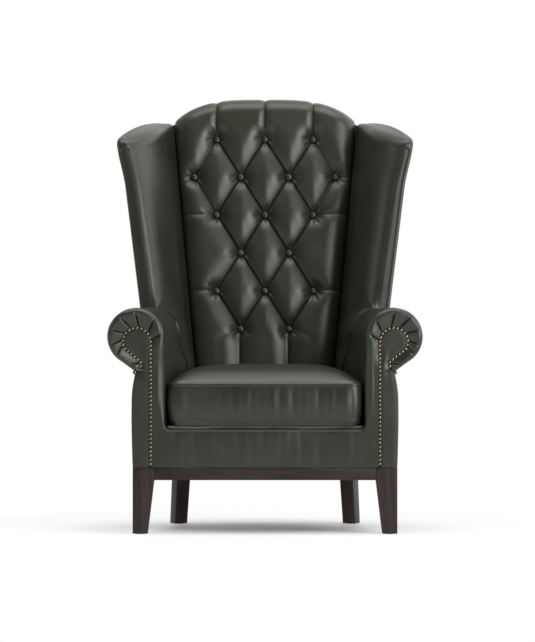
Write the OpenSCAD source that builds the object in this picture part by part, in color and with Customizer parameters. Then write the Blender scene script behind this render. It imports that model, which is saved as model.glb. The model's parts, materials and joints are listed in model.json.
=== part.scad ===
// Wing armchair with a buttoned back, scroll arms and a loose seat cushion
// Millimetres. X to the right, Y to the rear, Z up, origin on the floor under the middle of the chair.
// A depth is measured back from the front of the arms, and a half width out from the middle.

/* [Base] */
// Width over the two front legs
base_w = 702; // [620:1:780]
// Angle at which each side draws in towards the back
side_angle = 7.3; // [5:0.1:9]
// Height of the legs below the plinth
leg_h = 143; // [90:1:220]
// Height of the plinth rails
plinth_h = 33; // [24:1:60]
// Thickness of the plinth rails
plinth_t = 30; // [24:1:40]
// How far the plinth stands behind the front of the arms
plinth_inset = 2; // [1:0.5:6]
// Width of a front leg at the plinth
front_leg_w = 57; // [45:1:70]
// Width of a front leg at the floor
front_foot_w = 40; // [28:1:44]
// Width of a rear leg at the plinth
rear_leg_w = 40; // [30:1:46]
// Width of a rear leg at the floor
rear_foot_w = 37; // [28:1:40]
// Turn of a rear leg about its own axis
rear_leg_turn = 24; // [0:1:45]
// Distance of a rear leg's axis from the outer side of the plinth
rear_leg_side = 41; // [38:1:46]
// Distance of a rear leg's axis from the back of the plinth
rear_leg_in = 46; // [42:1:54]
// How far a rear foot stands outside the top of its leg
rear_splay = 8; // [0:1:30]
// How far a rear foot stands behind the top of its leg
rear_kick = 24; // [0:1:50]
// Side of the plinth block that carries a rear leg
leg_block = 92; // [86:1:100]
// Radius of a rear leg bolt
leg_bolt_r = 4; // [3:0.5:5]
// Length of a rear leg bolt inside its leg
leg_bolt_in = 50; // [30:1:70]
// Radius of a floor glide
glide_r = 13; // [8:0.5:14]
// Thickness of a floor glide
glide_t = 2.5; // [1.5:0.5:6]

/* [Seat frame] */
// Height of the seat frame rails
rail_h = 90; // [70:1:110]
// Thickness of the front seat rail
rail_t = 26; // [20:1:32]
// Leg of a seat frame corner block
corner_leg = 70; // [40:1:90]
// Height of a seat frame corner block
corner_h = 40; // [20:1:60]
// Number of seat springs
spring_n = 5; // [3:1:7]
// Wire thickness of a seat spring
spring_wire = 3.6; // [3:0.1:4.5]
// Width of a seat spring over its loops
spring_w = 44; // [30:1:56]
// Length of one full wave of a seat spring
spring_wave = 52; // [44:1:64]
// Spacing of the seat springs
spring_gap = 75; // [60:1:76]
// Shank radius of a base screw
screw_r = 2.4; // [2:0.1:3]
// Length of a base screw inside the seat rails
screw_in = 40; // [25:1:60]
// Thickness of the dust cover
dust_t = 1; // [0.6:0.1:2]

/* [Seat] */
// Thickness of the padded front border
border_t = 14; // [10:0.5:18]
// Radius of the border's top edge
border_r = 9; // [5:0.5:10]
// How far the border stands behind the front of the arms
border_inset = 1.5; // [1:0.5:10]
// Thickness of the seat deck
deck_t = 16.5; // [10:0.5:24]
// Height of the seat cushion at its edge
cushion_t = 112; // [90:1:140]
// Rise of the seat cushion's crown
cushion_crown = 48; // [20:1:60]
// Gap between the seat cushion and each arm
cushion_gap = 4; // [3:0.5:14]
// Gap between the seat cushion and the back
cushion_back_gap = 6; // [4:0.5:12]
// How far the cushion stands behind the front of the arms
cushion_inset = 10; // [4:0.5:24]
// Corner radius of the cushion in plan
cushion_r = 30; // [15:1:45]
// How far the cushion's boxing draws in at mid height
cushion_draw = 5; // [0:0.5:9]
// Wadding between the cushion's cover and its core
wadding = 24; // [15:1:32]

/* [Arms] */
// Height of the arms
arm_h = 600; // [560:1:660]
// Radius of the arm scroll
scroll_r = 76.5; // [70:0.1:82]
// Thickness of an arm from its inner to its outer face
arm_w = 84; // [80:0.5:88]
// Radius of the arm's padded front edge
arm_edge = 16; // [8:0.5:20]
// Width of the pad between the facing and the arm's inner face
arm_pad = 37; // [34:0.5:39]
// Radius of the facing's round end in the scroll
loop_r = 37; // [30:0.5:40]
// Height of the facing's round end below the scroll's centre
loop_drop = 14; // [8:0.5:18]
// Radius of the hollow under the facing's round end
neck_r = 12; // [8:0.5:14]
// Depth of that hollow's centre below the scroll's centre
neck_drop = 73; // [68:0.5:76]
// Depth of the neck's foot below the scroll's centre
neck_foot = 94; // [90:0.5:110]
// Thickness of an arm facing
facing_t = 5; // [3:0.5:8]
// Thickness of an arm post
post_t = 28; // [20:1:34]
// Thickness of an outside arm panel
side_panel_t = 8; // [5:0.5:10]
// Width of an arm's top rail
arm_rail_w = 40; // [30:1:46]
// Height of an arm's top rail
arm_rail_h = 50; // [30:1:56]
// Number of nailheads on an arm
nail_n = 50; // [20:1:54]
// Radius of a nailhead
nail_r = 5; // [3.5:0.1:5.2]
// Height of a nailhead
nail_h = 3.1; // [2:0.1:4]

/* [Back] */
// Angle at which the back leans
rake = 10; // [6:0.1:13]
// Depth from the front of the arms to the back at the foot of the seat frame
seat_d = 512; // [480:1:540]
// Half width of the back at the foot of the seat frame
back_half = 170; // [160:1:176]
// Angle at which each edge of the back flares out
back_flare = 5.17; // [3:0.05:6]
// Length of the back from the foot of the seat frame to its crown
back_h = 1037; // [1000:1:1080]
// Thickness of the inside back's pad
back_pad = 85; // [70:1:100]
// Thickness of the back frame
back_frame_t = 35; // [26:1:44]
// Width of a back post
back_post_w = 22; // [18:1:24]
// Height of the crest rail
crest_h = 70; // [50:1:90]
// Height of the lower back rail
lower_rail_h = 60; // [40:1:80]
// Thickness of a webbing strap
web_t = 1.2; // [0.8:0.1:2]
// Width of a webbing strap
web_w = 50; // [40:1:60]
// Thickness of the outside back
outside_t = 10; // [6:0.5:14]
// Drop of the crown from its middle to its corners
crown_drop = 61; // [30:1:75]
// Height over which the crown rolls to the rear
crown_roll = 45; // [30:1:50]

/* [Tufting] */
// Width of a diamond
tuft_w = 135; // [120:1:140]
// Height of a half diamond, from one row of buttons to the next
tuft_h = 108; // [96:1:110]
// Height of the lowest row of buttons over the foot of the seat frame
tuft_low = 376; // [360:1:392]
// Depth of a button's pocket
tuft_d = 30; // [20:0.5:34]
// Depth of a pleat
pleat_d = 13; // [8:0.5:16]
// Radius of a pad's rolled edge
pad_edge = 30; // [16:1:36]
// Radius of a back button
button_r = 9; // [8:0.5:12]
// Height of a back button from its shank to its dome
button_h = 19; // [14:0.5:22]

/* [Wings] */
// Half width of a wing's front edge where it meets the arm
wing_low_x = 342; // [330:1:352]
// Angle at which a wing's front edge leans out
wing_lean = 7.2; // [4:0.1:10]
// Depth of a wing's front edge where it meets the arm
wing_low_d = 374; // [340:1:400]
// Angle at which a wing's front edge leans to the rear
wing_rake = 8.8; // [4:0.1:12]
// Height of a wing's front corner
wing_h = 1066; // [1000:1:1110]
// Slope at which a wing's top rises to the rear
wing_rise = 9; // [4:0.5:14]
// Radius of a wing's rolled front edge
wing_roll = 24; // [20:0.5:30]
// Half width of the chair at the back where the wing meets the arm
rear_low_x = 262; // [258:1:268]
// Angle at which the rear corner leans out
rear_lean = 4.6; // [3:0.1:6]
// Depth at which a wing joins the side of the inside back
wing_join = 24; // [10:1:40]
// Thickness of an outside wing panel
wing_panel_t = 5; // [4:0.5:6]
// Thickness of a wing board
wing_board_t = 14; // [10:1:16]

/* [Hidden] */

// Clearance between pieces that lie against each other
clr = 0.3;
// Overrun of every cut
over = 1;
// Colours
leather = "#3d413b";
dark_leather = "#32362f";
timber = "#3c322e";
pine = "#b58f62";
steel = "#8d9091";
brass = "#a88a55";
linen = "#8f8468";
black_cloth = "#202020";

// Heights
plinth_z = leg_h;
seat_z = leg_h + plinth_h;
rail_z = seat_z + rail_h;
deck_z = rail_z + spring_wire + clr;
deck_top = deck_z + deck_t;
cushion_z = deck_top + clr;
scroll_z = arm_h - scroll_r;
neck_foot_z = scroll_z - neck_foot;

// Slopes
draw_in = tan(side_angle);
flare = tan(back_flare);

// Half widths at the front of the arms
base_x = base_w/2;
arm_out = base_x;
arm_in = base_x - arm_w;
post_in = arm_in + arm_pad;
post_out = arm_out - side_panel_t - clr;
scroll_x = arm_in + scroll_r;
loop_x = post_in + loop_r;
loop_z = scroll_z - loop_drop;
neck_x = loop_x + clr;
neck_z = scroll_z - neck_drop;
frame_out = post_out;

// Normal depths in the back's own leaning frame, counted from the front of the inside back
web_n = back_pad + clr;
frame_n = web_n + 2*web_t + clr;
outer_n = frame_n + back_frame_t + clr;
back_n = outer_n + outside_t;

// Depth of a plane of the back at a height, and the back's own height at a depth and a height
function plane_d(n, z) = seat_d + (n + (z - seat_z)*sin(rake))/cos(rake);
function up_back(d, z) = (z - seat_z)*cos(rake) + (d - seat_d)*sin(rake);
function up_at(n, z) = (z - seat_z + n*sin(rake))/cos(rake);
// Half width of the inside back at a height along the back
function pad_half(v) = back_half + flare*v;
function pad_half_at(d, z) = pad_half(up_back(d, z));
// Drop of the crown away from the middle, which keeps flat over the middle and falls at the corners
crown_power = 3.5;
function crown_fall(x, half) = crown_drop*pow(min(1, abs(x)/half), crown_power);

crown_half = pad_half(back_h - crown_drop - crown_roll);
crest_top = back_h - crown_drop - 1.5*crown_roll;
base_d = plane_d(back_n, seat_z);
rear_leg_d = base_d - rear_leg_in;
rear_leg_x = base_x - draw_in*rear_leg_d - rear_leg_side;
// The rearmost point is the top edge of the outside back
outside_top = back_h - crown_roll/2;
rear_most = seat_d + outside_top*sin(rake) + back_n*cos(rake);
mid_d = (rear_most - nail_h)/2;
function y_of(d) = d - mid_d;

// Helpers that place and build
module back_frame() {
    translate([0, y_of(seat_d), seat_z]) rotate([-rake, 0, 0]) children();
}

module left_side() {
    mirror([1, 0, 0]) children();
}

// A closed solid through rings of points, which turn clockwise as seen from outside the first ring.
// Each end is a fan from its ring's first point, so that point sees the whole ring.
module loft(rings) {
    n = len(rings[0]);
    last = n*(len(rings) - 1);
    walls = [for (j = [0:len(rings) - 2], i = [0:n - 1])
        let (a = j*n + i, b = j*n + (i + 1)%n) each [[a, a + n, b + n], [a, b + n, b]]];
    ends = [for (i = [1:n - 2]) each [[0, i, i + 1], [last, last + i + 1, last + i]]];
    polyhedron(points = [for (r = rings) each r], faces = concat(walls, ends), convexity = 10);
}

// A bar on the right whose faces draw in with the side, between two depths and two heights
module side_bar(x0, x1, d0, d1, z0, z1) {
    translate([0, 0, z0]) linear_extrude(z1 - z0) polygon([
        [x0 - draw_in*d0, y_of(d0)], [x1 - draw_in*d0, y_of(d0)],
        [x1 - draw_in*d1, y_of(d1)], [x0 - draw_in*d1, y_of(d1)]
    ]);
}

// A bar across the chair whose ends draw in with the sides
module cross_bar(x1, d0, d1, z0, z1) {
    translate([0, 0, z0]) linear_extrude(z1 - z0) polygon([
        [-x1 + draw_in*d0, y_of(d0)], [x1 - draw_in*d0, y_of(d0)],
        [x1 - draw_in*d1, y_of(d1)], [-x1 + draw_in*d1, y_of(d1)]
    ]);
}

// A bar across the chair whose front and rear lean with the back
module leaning_bar(x1, n0, n1, z0, z1) {
    rotate([90, 0, 90]) translate([0, 0, -x1]) linear_extrude(2*x1) polygon([
        [y_of(plane_d(n0, z0)), z0], [y_of(plane_d(n1, z0)), z0],
        [y_of(plane_d(n1, z1)), z1], [y_of(plane_d(n0, z1)), z1]
    ]);
}

// Everything behind a plane of the back
module behind_back(n) {
    back_frame() translate([-base_w, n, -seat_z]) cube([2*base_w, base_w, back_h + 2*seat_z]);
}

// Base
module front_leg() {
    d0 = plinth_inset;
    intersection() {
        rotate([90, 0, 0]) translate([0, 0, -y_of(d0 + front_leg_w)]) linear_extrude(front_leg_w)
            polygon([
                [base_x - front_leg_w, seat_z], [base_x, seat_z], [base_x, glide_t],
                [base_x - front_foot_w, glide_t], [base_x - front_leg_w, plinth_z]
            ]);
        rotate([90, 0, 90]) translate([0, 0, base_x - front_leg_w]) linear_extrude(front_leg_w)
            polygon([
                [y_of(d0), seat_z], [y_of(d0 + front_leg_w), seat_z],
                [y_of(d0 + front_leg_w), plinth_z], [y_of(d0 + front_foot_w), glide_t],
                [y_of(d0), glide_t]
            ]);
    }
}

// Offset of a rear foot in the leg's own turned frame
foot_x = rear_splay*cos(rear_leg_turn) + rear_kick*sin(rear_leg_turn);
foot_y = rear_kick*cos(rear_leg_turn) - rear_splay*sin(rear_leg_turn);

module at_rear_leg() {
    translate([rear_leg_x, y_of(rear_leg_d), 0]) children();
}

// One side view of a rear leg, with its foot moved over
module rear_leg_view(shift) {
    polygon([
        [shift - rear_foot_w/2, glide_t], [shift + rear_foot_w/2, glide_t],
        [rear_leg_w/2, plinth_z], [-rear_leg_w/2, plinth_z]
    ]);
}

module rear_leg() {
    reach = rear_leg_w + rear_kick + rear_splay;
    difference() {
        at_rear_leg() rotate([0, 0, rear_leg_turn]) intersection() {
            rotate([90, 0, 0]) translate([0, 0, -reach]) linear_extrude(2*reach) rear_leg_view(foot_x);
            rotate([90, 0, 90]) translate([0, 0, -reach]) linear_extrude(2*reach) rear_leg_view(foot_y);
        }
        leg_bolt(clr);
    }
}

module leg_bolt(grow) {
    at_rear_leg() translate([0, 0, plinth_z - leg_bolt_in - grow])
        cylinder(h = leg_bolt_in + plinth_h + 2*grow, r = leg_bolt_r + grow, $fn = 32);
}

module front_glide() {
    reach = front_foot_w/2;
    translate([base_x - reach, y_of(plinth_inset + reach), 0]) cylinder(h = glide_t, r = glide_r, $fn = 32);
}

module rear_glide() {
    at_rear_leg() translate([rear_splay, rear_kick, 0]) cylinder(h = glide_t, r = glide_r, $fn = 32);
}

plinth_in = base_x - plinth_t;
side_end = base_d - plinth_t;
front_rail_d = border_inset + border_t + clr;
front_rail_end = front_rail_d + rail_t;

module leg_block_shape(grow) {
    inner = plinth_in - clr;
    size = leg_block + grow;
    translate([0, 0, plinth_z]) linear_extrude(plinth_h) polygon([
        [inner - draw_in*(side_end - size), y_of(side_end - size)],
        [inner - draw_in*side_end, y_of(side_end)],
        [inner - draw_in*side_end - size, y_of(side_end)]
    ]);
}

module leg_block_piece() {
    difference() {
        leg_block_shape(0);
        leg_bolt(clr);
    }
}

// Base screws: half widths and depths, from the plinth rail up into the seat rail above it
front_screw_d = (front_rail_d + plinth_inset + plinth_t)/2;
rear_screw_d = (side_end + plane_d(outer_n - clr, seat_z))/2;
side_screw_x = (plinth_in + frame_out)/2;
side_screw_d = [front_leg_w + rail_t, base_d/2, side_end - leg_block];

module screws(grow) {
    for (s = [-1, 1]) {
        screw(s*post_in/2, front_screw_d, grow);
        screw(s*rear_leg_x/2, rear_screw_d, grow);
    }
}

module side_screws(grow) {
    for (d = side_screw_d) screw(side_screw_x - draw_in*d, d, grow);
}

module screw(x, d, grow) {
    head = 2*screw_r;
    translate([x, y_of(d), plinth_z - grow]) {
        cylinder(h = plinth_h + screw_in + 2*grow, r = screw_r + grow, $fn = 24);
        cylinder(h = screw_r + 2*grow, r = head + grow, $fn = 24);
    }
}

module base_front_rail_piece() {
    difference() {
        translate([front_leg_w - base_x, y_of(plinth_inset), plinth_z])
            cube([base_w - 2*front_leg_w, plinth_t, plinth_h]);
        screws(clr);
    }
}

module base_side_rail() {
    difference() {
        side_bar(plinth_in, base_x, plinth_inset + front_leg_w, side_end, plinth_z, seat_z);
        side_screws(clr);
    }
}

// Seat frame
module seat_side_rail() {
    d0 = facing_t + clr + post_t;
    difference() {
        side_bar(post_in, frame_out, d0, rear_most, seat_z, rail_z);
        behind_back(outer_n - clr);
        side_screws(clr);
    }
}

module seat_rear_rail_piece() {
    difference() {
        intersection() {
            leaning_bar(base_x, frame_n, outer_n - clr, seat_z, rail_z);
            cross_bar(post_in - clr, 0, rear_most, seat_z, rail_z);
        }
        screws(clr);
    }
}

module seat_front_rail_piece() {
    difference() {
        cross_bar(post_in - clr, front_rail_d, front_rail_end, seat_z, rail_z);
        screws(clr);
    }
}

module corner_block(d, dir) {
    inner = post_in - clr;
    translate([0, 0, rail_z - corner_h]) linear_extrude(corner_h) polygon([
        [inner - draw_in*(d + dir*corner_leg), y_of(d + dir*corner_leg)],
        [inner - draw_in*d, y_of(d)],
        [inner - draw_in*d - corner_leg, y_of(d)]
    ]);
}

rear_rail_start = plane_d(frame_n, rail_z - corner_h);

module corner_blocks_right() {
    corner_block(front_rail_end, 1);
    corner_block(rear_rail_start, -1);
}

// Springs: a wave of wire, offset by half its thickness on both sides of the middle line
spring_swing = (spring_w - spring_wire)/2;
spring_start = front_rail_end - rail_t/2;
spring_end = plane_d(frame_n, rail_z) + rail_t/2;
spring_len = spring_end - spring_start;
spring_waves = round(spring_len/spring_wave);
wave_len = spring_len/spring_waves;

function wave_point(t, side) =
    let (
        slope = spring_swing*2*PI/wave_len*cos(360*t/wave_len),
        size = norm([slope, 1])
    )
    [spring_swing*sin(360*t/wave_len) + side*spring_wire/2/size, t - side*spring_wire/2*slope/size];

module spring_piece() {
    steps = 8*spring_waves;
    linear_extrude(spring_wire) polygon(concat(
        [for (i = [0:steps]) wave_point(i*spring_len/steps, 1)],
        [for (i = [steps:-1:0]) wave_point(i*spring_len/steps, -1)]
    ));
}

spring_xs = [for (i = [0:spring_n - 1]) (i - (spring_n - 1)/2)*spring_gap];

// A strap that holds the end of a spring down on a rail
module spring_clip() {
    w = spring_w + 4*spring_wire;
    l = 2*spring_wire;
    translate([-w/2, -l/2, 0]) difference() {
        cube([w, l, spring_wire + clr]);
        translate([spring_wire, -over, -over])
            cube([w - 2*spring_wire, l + 2*over, spring_wire + over + clr/2]);
    }
}

// Arms
// The facing's edge: up the inner side, round the scroll and down to the neck's foot
function facing_edge(grow) = concat(
    [[post_in - grow, seat_z + clr]],
    [for (a = [180:-15:-30]) [loop_x + (loop_r + grow)*cos(a), loop_z + (loop_r + grow)*sin(a)]],
    [for (a = [130:20:230]) [neck_x + (neck_r - grow)*cos(a), neck_z + (neck_r - grow)*sin(a)]]
);

module facing_shape(grow, outer) {
    polygon(concat(facing_edge(grow), [[outer, neck_foot_z], [outer, seat_z + clr]]));
}

module upright(d0, t) {
    translate([0, y_of(d0 + t), 0]) rotate([90, 0, 0]) linear_extrude(t) children();
}

module arm_facing() {
    upright(0, facing_t) facing_shape(0, arm_out);
}

module arm_post() {
    difference() {
        upright(facing_t + clr, post_t) facing_shape(0, post_out);
        side_bar(post_out, base_w, 0, rear_most, seat_z, neck_foot_z + clr);
    }
}

// One section of the arm's cover, drawn in by some amount at the front edge
function arm_section(inset) = concat(
    [[post_in - clr, neck_foot_z + clr], [post_in - clr, seat_z + clr]],
    [for (z = [seat_z + clr, deck_top, neck_foot_z]) [arm_in + inset, z]],
    [for (a = [180:-15:-60])
        [scroll_x + (scroll_r - inset)*cos(a), scroll_z + (scroll_r - inset)*sin(a)]],
    [[arm_out + clr - inset/2, neck_foot_z + clr]]
);

// A section point moved to a depth, kept clear of the inside back's edge
function arm_point(p, d) =
    [max(p.x - draw_in*d, pad_half_at(d, p.y) + clr), y_of(d), p.y];

arm_depth_shares = [0.3, 0.55, 0.75, 0.9];

module arm_cover() {
    difference() {
        loft(concat(
            [for (a = [0:22.5:90]) let (inset = arm_edge*(1 - sin(a)), d = arm_edge*(1 - cos(a)))
                [for (p = arm_section(inset)) arm_point(p, d)]],
            [for (share = arm_depth_shares)
                [for (p = arm_section(0)) arm_point(p, share*plane_d(0, p.y))]],
            [[for (p = arm_section(0)) arm_point(p, plane_d(outer_n - clr, p.y))]]
        ));
        upright(-over, over + facing_t + clr + post_t + clr) facing_shape(clr, arm_out);
        side_bar(arm_rail_in - clr, arm_rail_in + arm_rail_w + clr, facing_t, rear_most,
            arm_rail_z - clr, arm_rail_z + arm_rail_h + clr);
        seat_frame_space();
        back_post_shape(clr);
    }
}

// All that lies behind the front border and below the top of the seat frame
module seat_frame_space() {
    translate([-base_w, y_of(front_rail_d - clr), 0]) cube([2*base_w, 2*rear_most, rail_z + clr]);
}

arm_rail_in = loop_x - arm_rail_w/2;
arm_rail_z = loop_z - arm_rail_h/2;

module arm_rail() {
    difference() {
        side_bar(arm_rail_in, arm_rail_in + arm_rail_w, facing_t + clr + post_t, rear_most,
            arm_rail_z, arm_rail_z + arm_rail_h);
        behind_back(outer_n - clr);
        back_post_shape(clr);
    }
}

module outside_arm() {
    difference() {
        side_bar(arm_out - side_panel_t, arm_out, facing_t + clr, rear_most, seat_z + clr, neck_foot_z);
        behind_back(outer_n - clr);
    }
}

// Nailheads, at even steps along the facing's edge
nail_line = concat(
    [[post_in, seat_z + 2*nail_r]],
    [for (i = [1:len(facing_edge(0)) - 1]) facing_edge(0)[i]],
    [[arm_out - nail_r, neck_foot_z + clr]]
);
function line_sums(points, i = 1, sum = 0) =
    i == len(points) ? [sum] : concat([sum], line_sums(points, i + 1, sum + norm(points[i] - points[i - 1])));
nail_sums = line_sums(nail_line);
function along_line(s, i = 1) =
    s <= nail_sums[i] || i == len(nail_line) - 1
    ? nail_line[i - 1] + (nail_line[i] - nail_line[i - 1])*(s - nail_sums[i - 1])/(nail_sums[i] - nail_sums[i - 1])
    : along_line(s, i + 1);

nail_outline_shares = [[0, 0], [1, 0], [0.88, 0.5], [0.5, 0.9], [0, 1]];

module nailheads() {
    step = nail_sums[len(nail_sums) - 1]/(nail_n - 1);
    for (i = [0:nail_n - 1]) let (p = along_line(i*step))
        translate([p.x, y_of(0), p.y]) rotate([90, 0, 0]) rotate_extrude($fn = 20)
            polygon([for (q = nail_outline_shares) [q.x*nail_r, q.y*nail_h]]);
}

// Back frame
module back_post_shape(grow) {
    high = crest_top;
    inner = clr - grow;
    outer = clr + back_post_w + grow;
    intersection() {
        back_frame() translate([0, frame_n - grow, 0]) rotate([90, 0, 0]) mirror([0, 0, 1])
            linear_extrude(back_frame_t + 2*grow) polygon([
                [pad_half(0) + inner, 0], [pad_half(0) + outer, 0],
                [pad_half(high + grow) + outer, high + grow], [pad_half(high + grow) + inner, high + grow]
            ]);
        translate([0, -base_w, rail_z - grow]) cube([base_w, 2*base_w, back_h + seat_z]);
    }
}

crest_low = crest_top - crest_h;
lower_rail_v = up_at(frame_n, deck_top) + lower_rail_h;

// A rail across the back frame, between two heights along the back
module back_rail(v0, v1) {
    back_frame() translate([0, frame_n, 0]) rotate([90, 0, 0]) mirror([0, 0, 1])
        linear_extrude(back_frame_t) polygon([
            [-pad_half(v0), v0], [pad_half(v0), v0], [pad_half(v1), v1], [-pad_half(v1), v1]
        ]);
}

web_rows = 6;

// Upright straps from rail to rail, with level straps across their fronts
module back_webbing_piece() {
    low = lower_rail_v;
    high = crest_low + crest_h/2;
    step = 1.5*web_w;
    back_frame() {
        for (i = [-2:2])
            translate([i*step - web_w/2, web_n + web_t, low]) cube([web_w, web_t, high - low]);
        for (i = [1:web_rows]) let (v = low + i*(high - low)/(web_rows + 1))
            translate([-2*step - web_w/2, web_n, v - web_w/2]) cube([4*step + web_w, web_t, web_w]);
    }
}

// Inside back: buttons stand on a lattice of half diamonds, and pleats join the neighbouring rows
tuft_half = tuft_w/2;
// Columns of each row of buttons, from the lowest row up, in half diamonds from the middle
button_rows = [[-1, 1], [-2, 0, 2], [-1, 1], [-2, 0, 2], [-3, -1, 1, 3], [-2, 0, 2]];
// Steps of the mesh in one half diamond, and the columns that keep that step on each side
steps = 4;
inner_cols = 9;
edge_shares = [0.26, 0.5, 0.78, 1];
all_cols = inner_cols + len(edge_shares);

// Half width of a mesh column at a height along the back
function col_x(i, v) =
    let (a = abs(i), inner = inner_cols*tuft_half/steps, half = pad_half(v))
    sign(i)*(a <= inner_cols ? a*tuft_half/steps : inner + edge_shares[a - inner_cols - 1]*(half - inner));

function row_v(r) = tuft_low + r*tuft_h;
function button_x(c, r) = abs(c) < 3 ? c*tuft_half : col_x(sign(c)*(inner_cols + 2), row_v(r));

buttons = [for (r = [0:5], c = button_rows[r]) [button_x(c, r), row_v(r)]];
top_v = row_v(5);
// Pleats: diagonals between rows, then the upright ones at the ends and the level ones at the sides
pleats = concat(
    [for (r = [0:4], c = button_rows[r], e = button_rows[r + 1]) if (abs(c - e) == 1)
        [[button_x(c, r), row_v(r)], [button_x(e, r + 1), row_v(r + 1)]]],
    [for (c = button_rows[0]) [[c*tuft_half, row_v(0)], [c*tuft_half, 0]]],
    [for (c = button_rows[5]) [[c*tuft_half, top_v], [c*tuft_half, back_h]]],
    [for (r = [1, 3, 4], s = [-1, 1]) let (c = max(button_rows[r]))
        [[s*button_x(c, r), row_v(r)], [s*base_x, row_v(r)]]]
);

function to_segment(p, a, b) =
    let (ab = b - a, t = max(0, min(1, (p - a)*ab/(ab*ab)))) norm(p - a - t*ab);

// Depth of the leather's face below its highest line, at a point of the back
edge_roll_share = 0.8;
puff = tuft_half*tuft_h/norm([tuft_half, tuft_h]);
function tuft_depth(p) =
    let (
        to_pleat = min([for (s = pleats) to_segment(p, s[0], s[1])]),
        to_button = min([for (b = buttons) norm(p - b)]),
        to_edge = pad_half(p.y) - abs(p.x),
        puffed = pleat_d*(1 - sin(90*min(1, to_pleat/puff))),
        pocket = (tuft_d - pleat_d)*exp(-pow(to_button/(2*button_r), 2)),
        rolled = pad_edge*(1 - sqrt(max(0, 1 - pow(1 - min(1, to_edge/pad_edge), 2))))
    )
    min(tuft_d, puffed + pocket) + rolled*edge_roll_share;

// A point on the crown's roll, from the face over the top to the rear plane
function roll_point(x, half, a) =
    let (
        top = back_h - crown_fall(x, half),
        dent = pleat_d/2*exp(-pow(min([for (c = button_rows[5]) abs(x - c*tuft_half)])/button_r, 2)),
        n0 = min(back_pad/3, tuft_depth([x, top_v + tuft_h/2])),
        reach = outer_n - clr - n0
    )
    [x, n0 + reach/2*(1 - cos(a)), top - crown_roll + (crown_roll - dent)*sin(a)];

mesh_rows = concat(
    [row_v(-1), row_v(-0.75), row_v(-0.5), row_v(-0.25)],
    [for (j = [0:5*steps]) row_v(j/steps)]
);

// Rows of the mesh: the foot, the face, the crown's roll and the ledge that sits on the crest rail
function foot_point(i, foot) =
    let (v = up_at(0, foot), x = col_x(i, v), n = tuft_depth([x, v])) [x, n, up_at(n, foot)];
function face_point(i, v) = let (x = col_x(i, v)) [x, tuft_depth([x, v]), v];
function roll_start(i) =
    back_h - crown_roll - crown_fall(col_x(i, back_h - crown_drop - crown_roll), crown_half);

module inside_back_piece() {
    foot = deck_top + clr;
    cols = [-all_cols:all_cols];
    ledge = crest_top + clr;
    grid = concat(
        [[for (i = cols) foot_point(i, foot)]],
        [for (v = mesh_rows) [for (i = cols) face_point(i, v)]],
        [[for (i = cols) face_point(i, (top_v + roll_start(i))/2)]],
        [for (a = [0:30:180]) [for (i = cols) roll_point(col_x(i, crest_top), crown_half, a)]],
        [[for (i = cols) [col_x(i, crest_top), outer_n - clr, ledge]]],
        [[for (i = cols) [col_x(i, crest_top), back_pad, ledge]]]
    );
    w = 2*all_cols + 1;
    rows = len(grid);
    ledge_left = (rows - 1)*w;
    ledge_right = rows*w - 1;
    rear_left = rows*w;
    rear_right = rear_left + 1;
    v_rear = up_at(back_pad, foot);
    face = [for (j = [0:rows - 2], i = [0:w - 2])
        let (a = j*w + i, b = a + 1, c = b + w, d = a + w)
        each ((i + j + all_cols)%2 == 0 ? [[a, d, c], [a, c, b]] : [[a, d, b], [d, c, b]])];
    rear = [for (i = [0:w - 2]) [rear_left, ledge_left + i + 1, ledge_left + i]];
    left = [for (j = [0:rows - 3]) [ledge_left, (j + 1)*w, j*w]];
    right = [for (j = [0:rows - 3]) [ledge_right, j*w + w - 1, (j + 1)*w + w - 1]];
    foot_faces = [for (i = [0:w - 2]) [rear_left, i, i + 1]];
    back_frame() polyhedron(
        points = concat([for (r = grid) each r],
            [[-pad_half(v_rear), back_pad, v_rear], [pad_half(v_rear), back_pad, v_rear]]),
        faces = concat(face, rear, left, right, foot_faces, [
            [rear_left, rear_right, ledge_right], [rear_left, w - 1, rear_right],
            [ledge_left, 0, rear_left], [ledge_right, rear_right, w - 1]
        ]),
        convexity = 10
    );
}

// A covered button with a cone behind it that reaches into its pocket
button_shares = [[0, 0], [1, 0.62], [0.96, 0.74], [0.72, 0.9], [0.38, 0.98], [0, 1]];

module back_buttons_piece() {
    for (b = buttons)
        back_frame() translate([b.x, tuft_d - clr, b.y]) rotate([90, 0, 0]) rotate_extrude($fn = 24)
            polygon([for (q = button_shares) [q.x*button_r, q.y*button_h]]);
}

// Outside back, one leaning panel with an arched top
function rear_half(z) = rear_low_x + tan(rear_lean)*(z - arm_h);
outside_cols = 10;

module outside_back_piece() {
    foot_v = up_at(outer_n, seat_z + clr);
    low_v = up_at(outer_n, arm_h);
    corner_v = outside_top - crown_drop;
    corner_z = seat_z + corner_v*cos(rake);
    half = rear_half(corner_z);
    foot_half = min(rear_low_x, post_out - draw_in*base_d);
    difference() {
        back_frame() translate([0, outer_n, 0]) rotate([90, 0, 0]) mirror([0, 0, 1])
            linear_extrude(outside_t) polygon(concat(
                [[-foot_half, foot_v - plinth_h], [foot_half, foot_v - plinth_h], [rear_low_x, low_v]],
                [for (i = [0:2*outside_cols]) let (x = half*(1 - i/outside_cols))
                    [x, outside_top - crown_fall(x, half)]],
                [[-rear_low_x, low_v]]
            ));
        translate([-base_w, -base_w, 0]) cube([2*base_w, 2*base_w, seat_z + clr]);
    }
}

// Wings
wing_foot = scroll_z + clr;
rear_edge_n = outer_n - clr;
function wing_top(d) = wing_h + tan(wing_rise)*(d - wing_low_d - tan(wing_rake)*(wing_h - arm_h));
function wing_edge_x(z) = wing_low_x + tan(wing_lean)*(z - arm_h);
function wing_edge_d(z) = wing_low_d + tan(wing_rake)*(z - arm_h);
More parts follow.
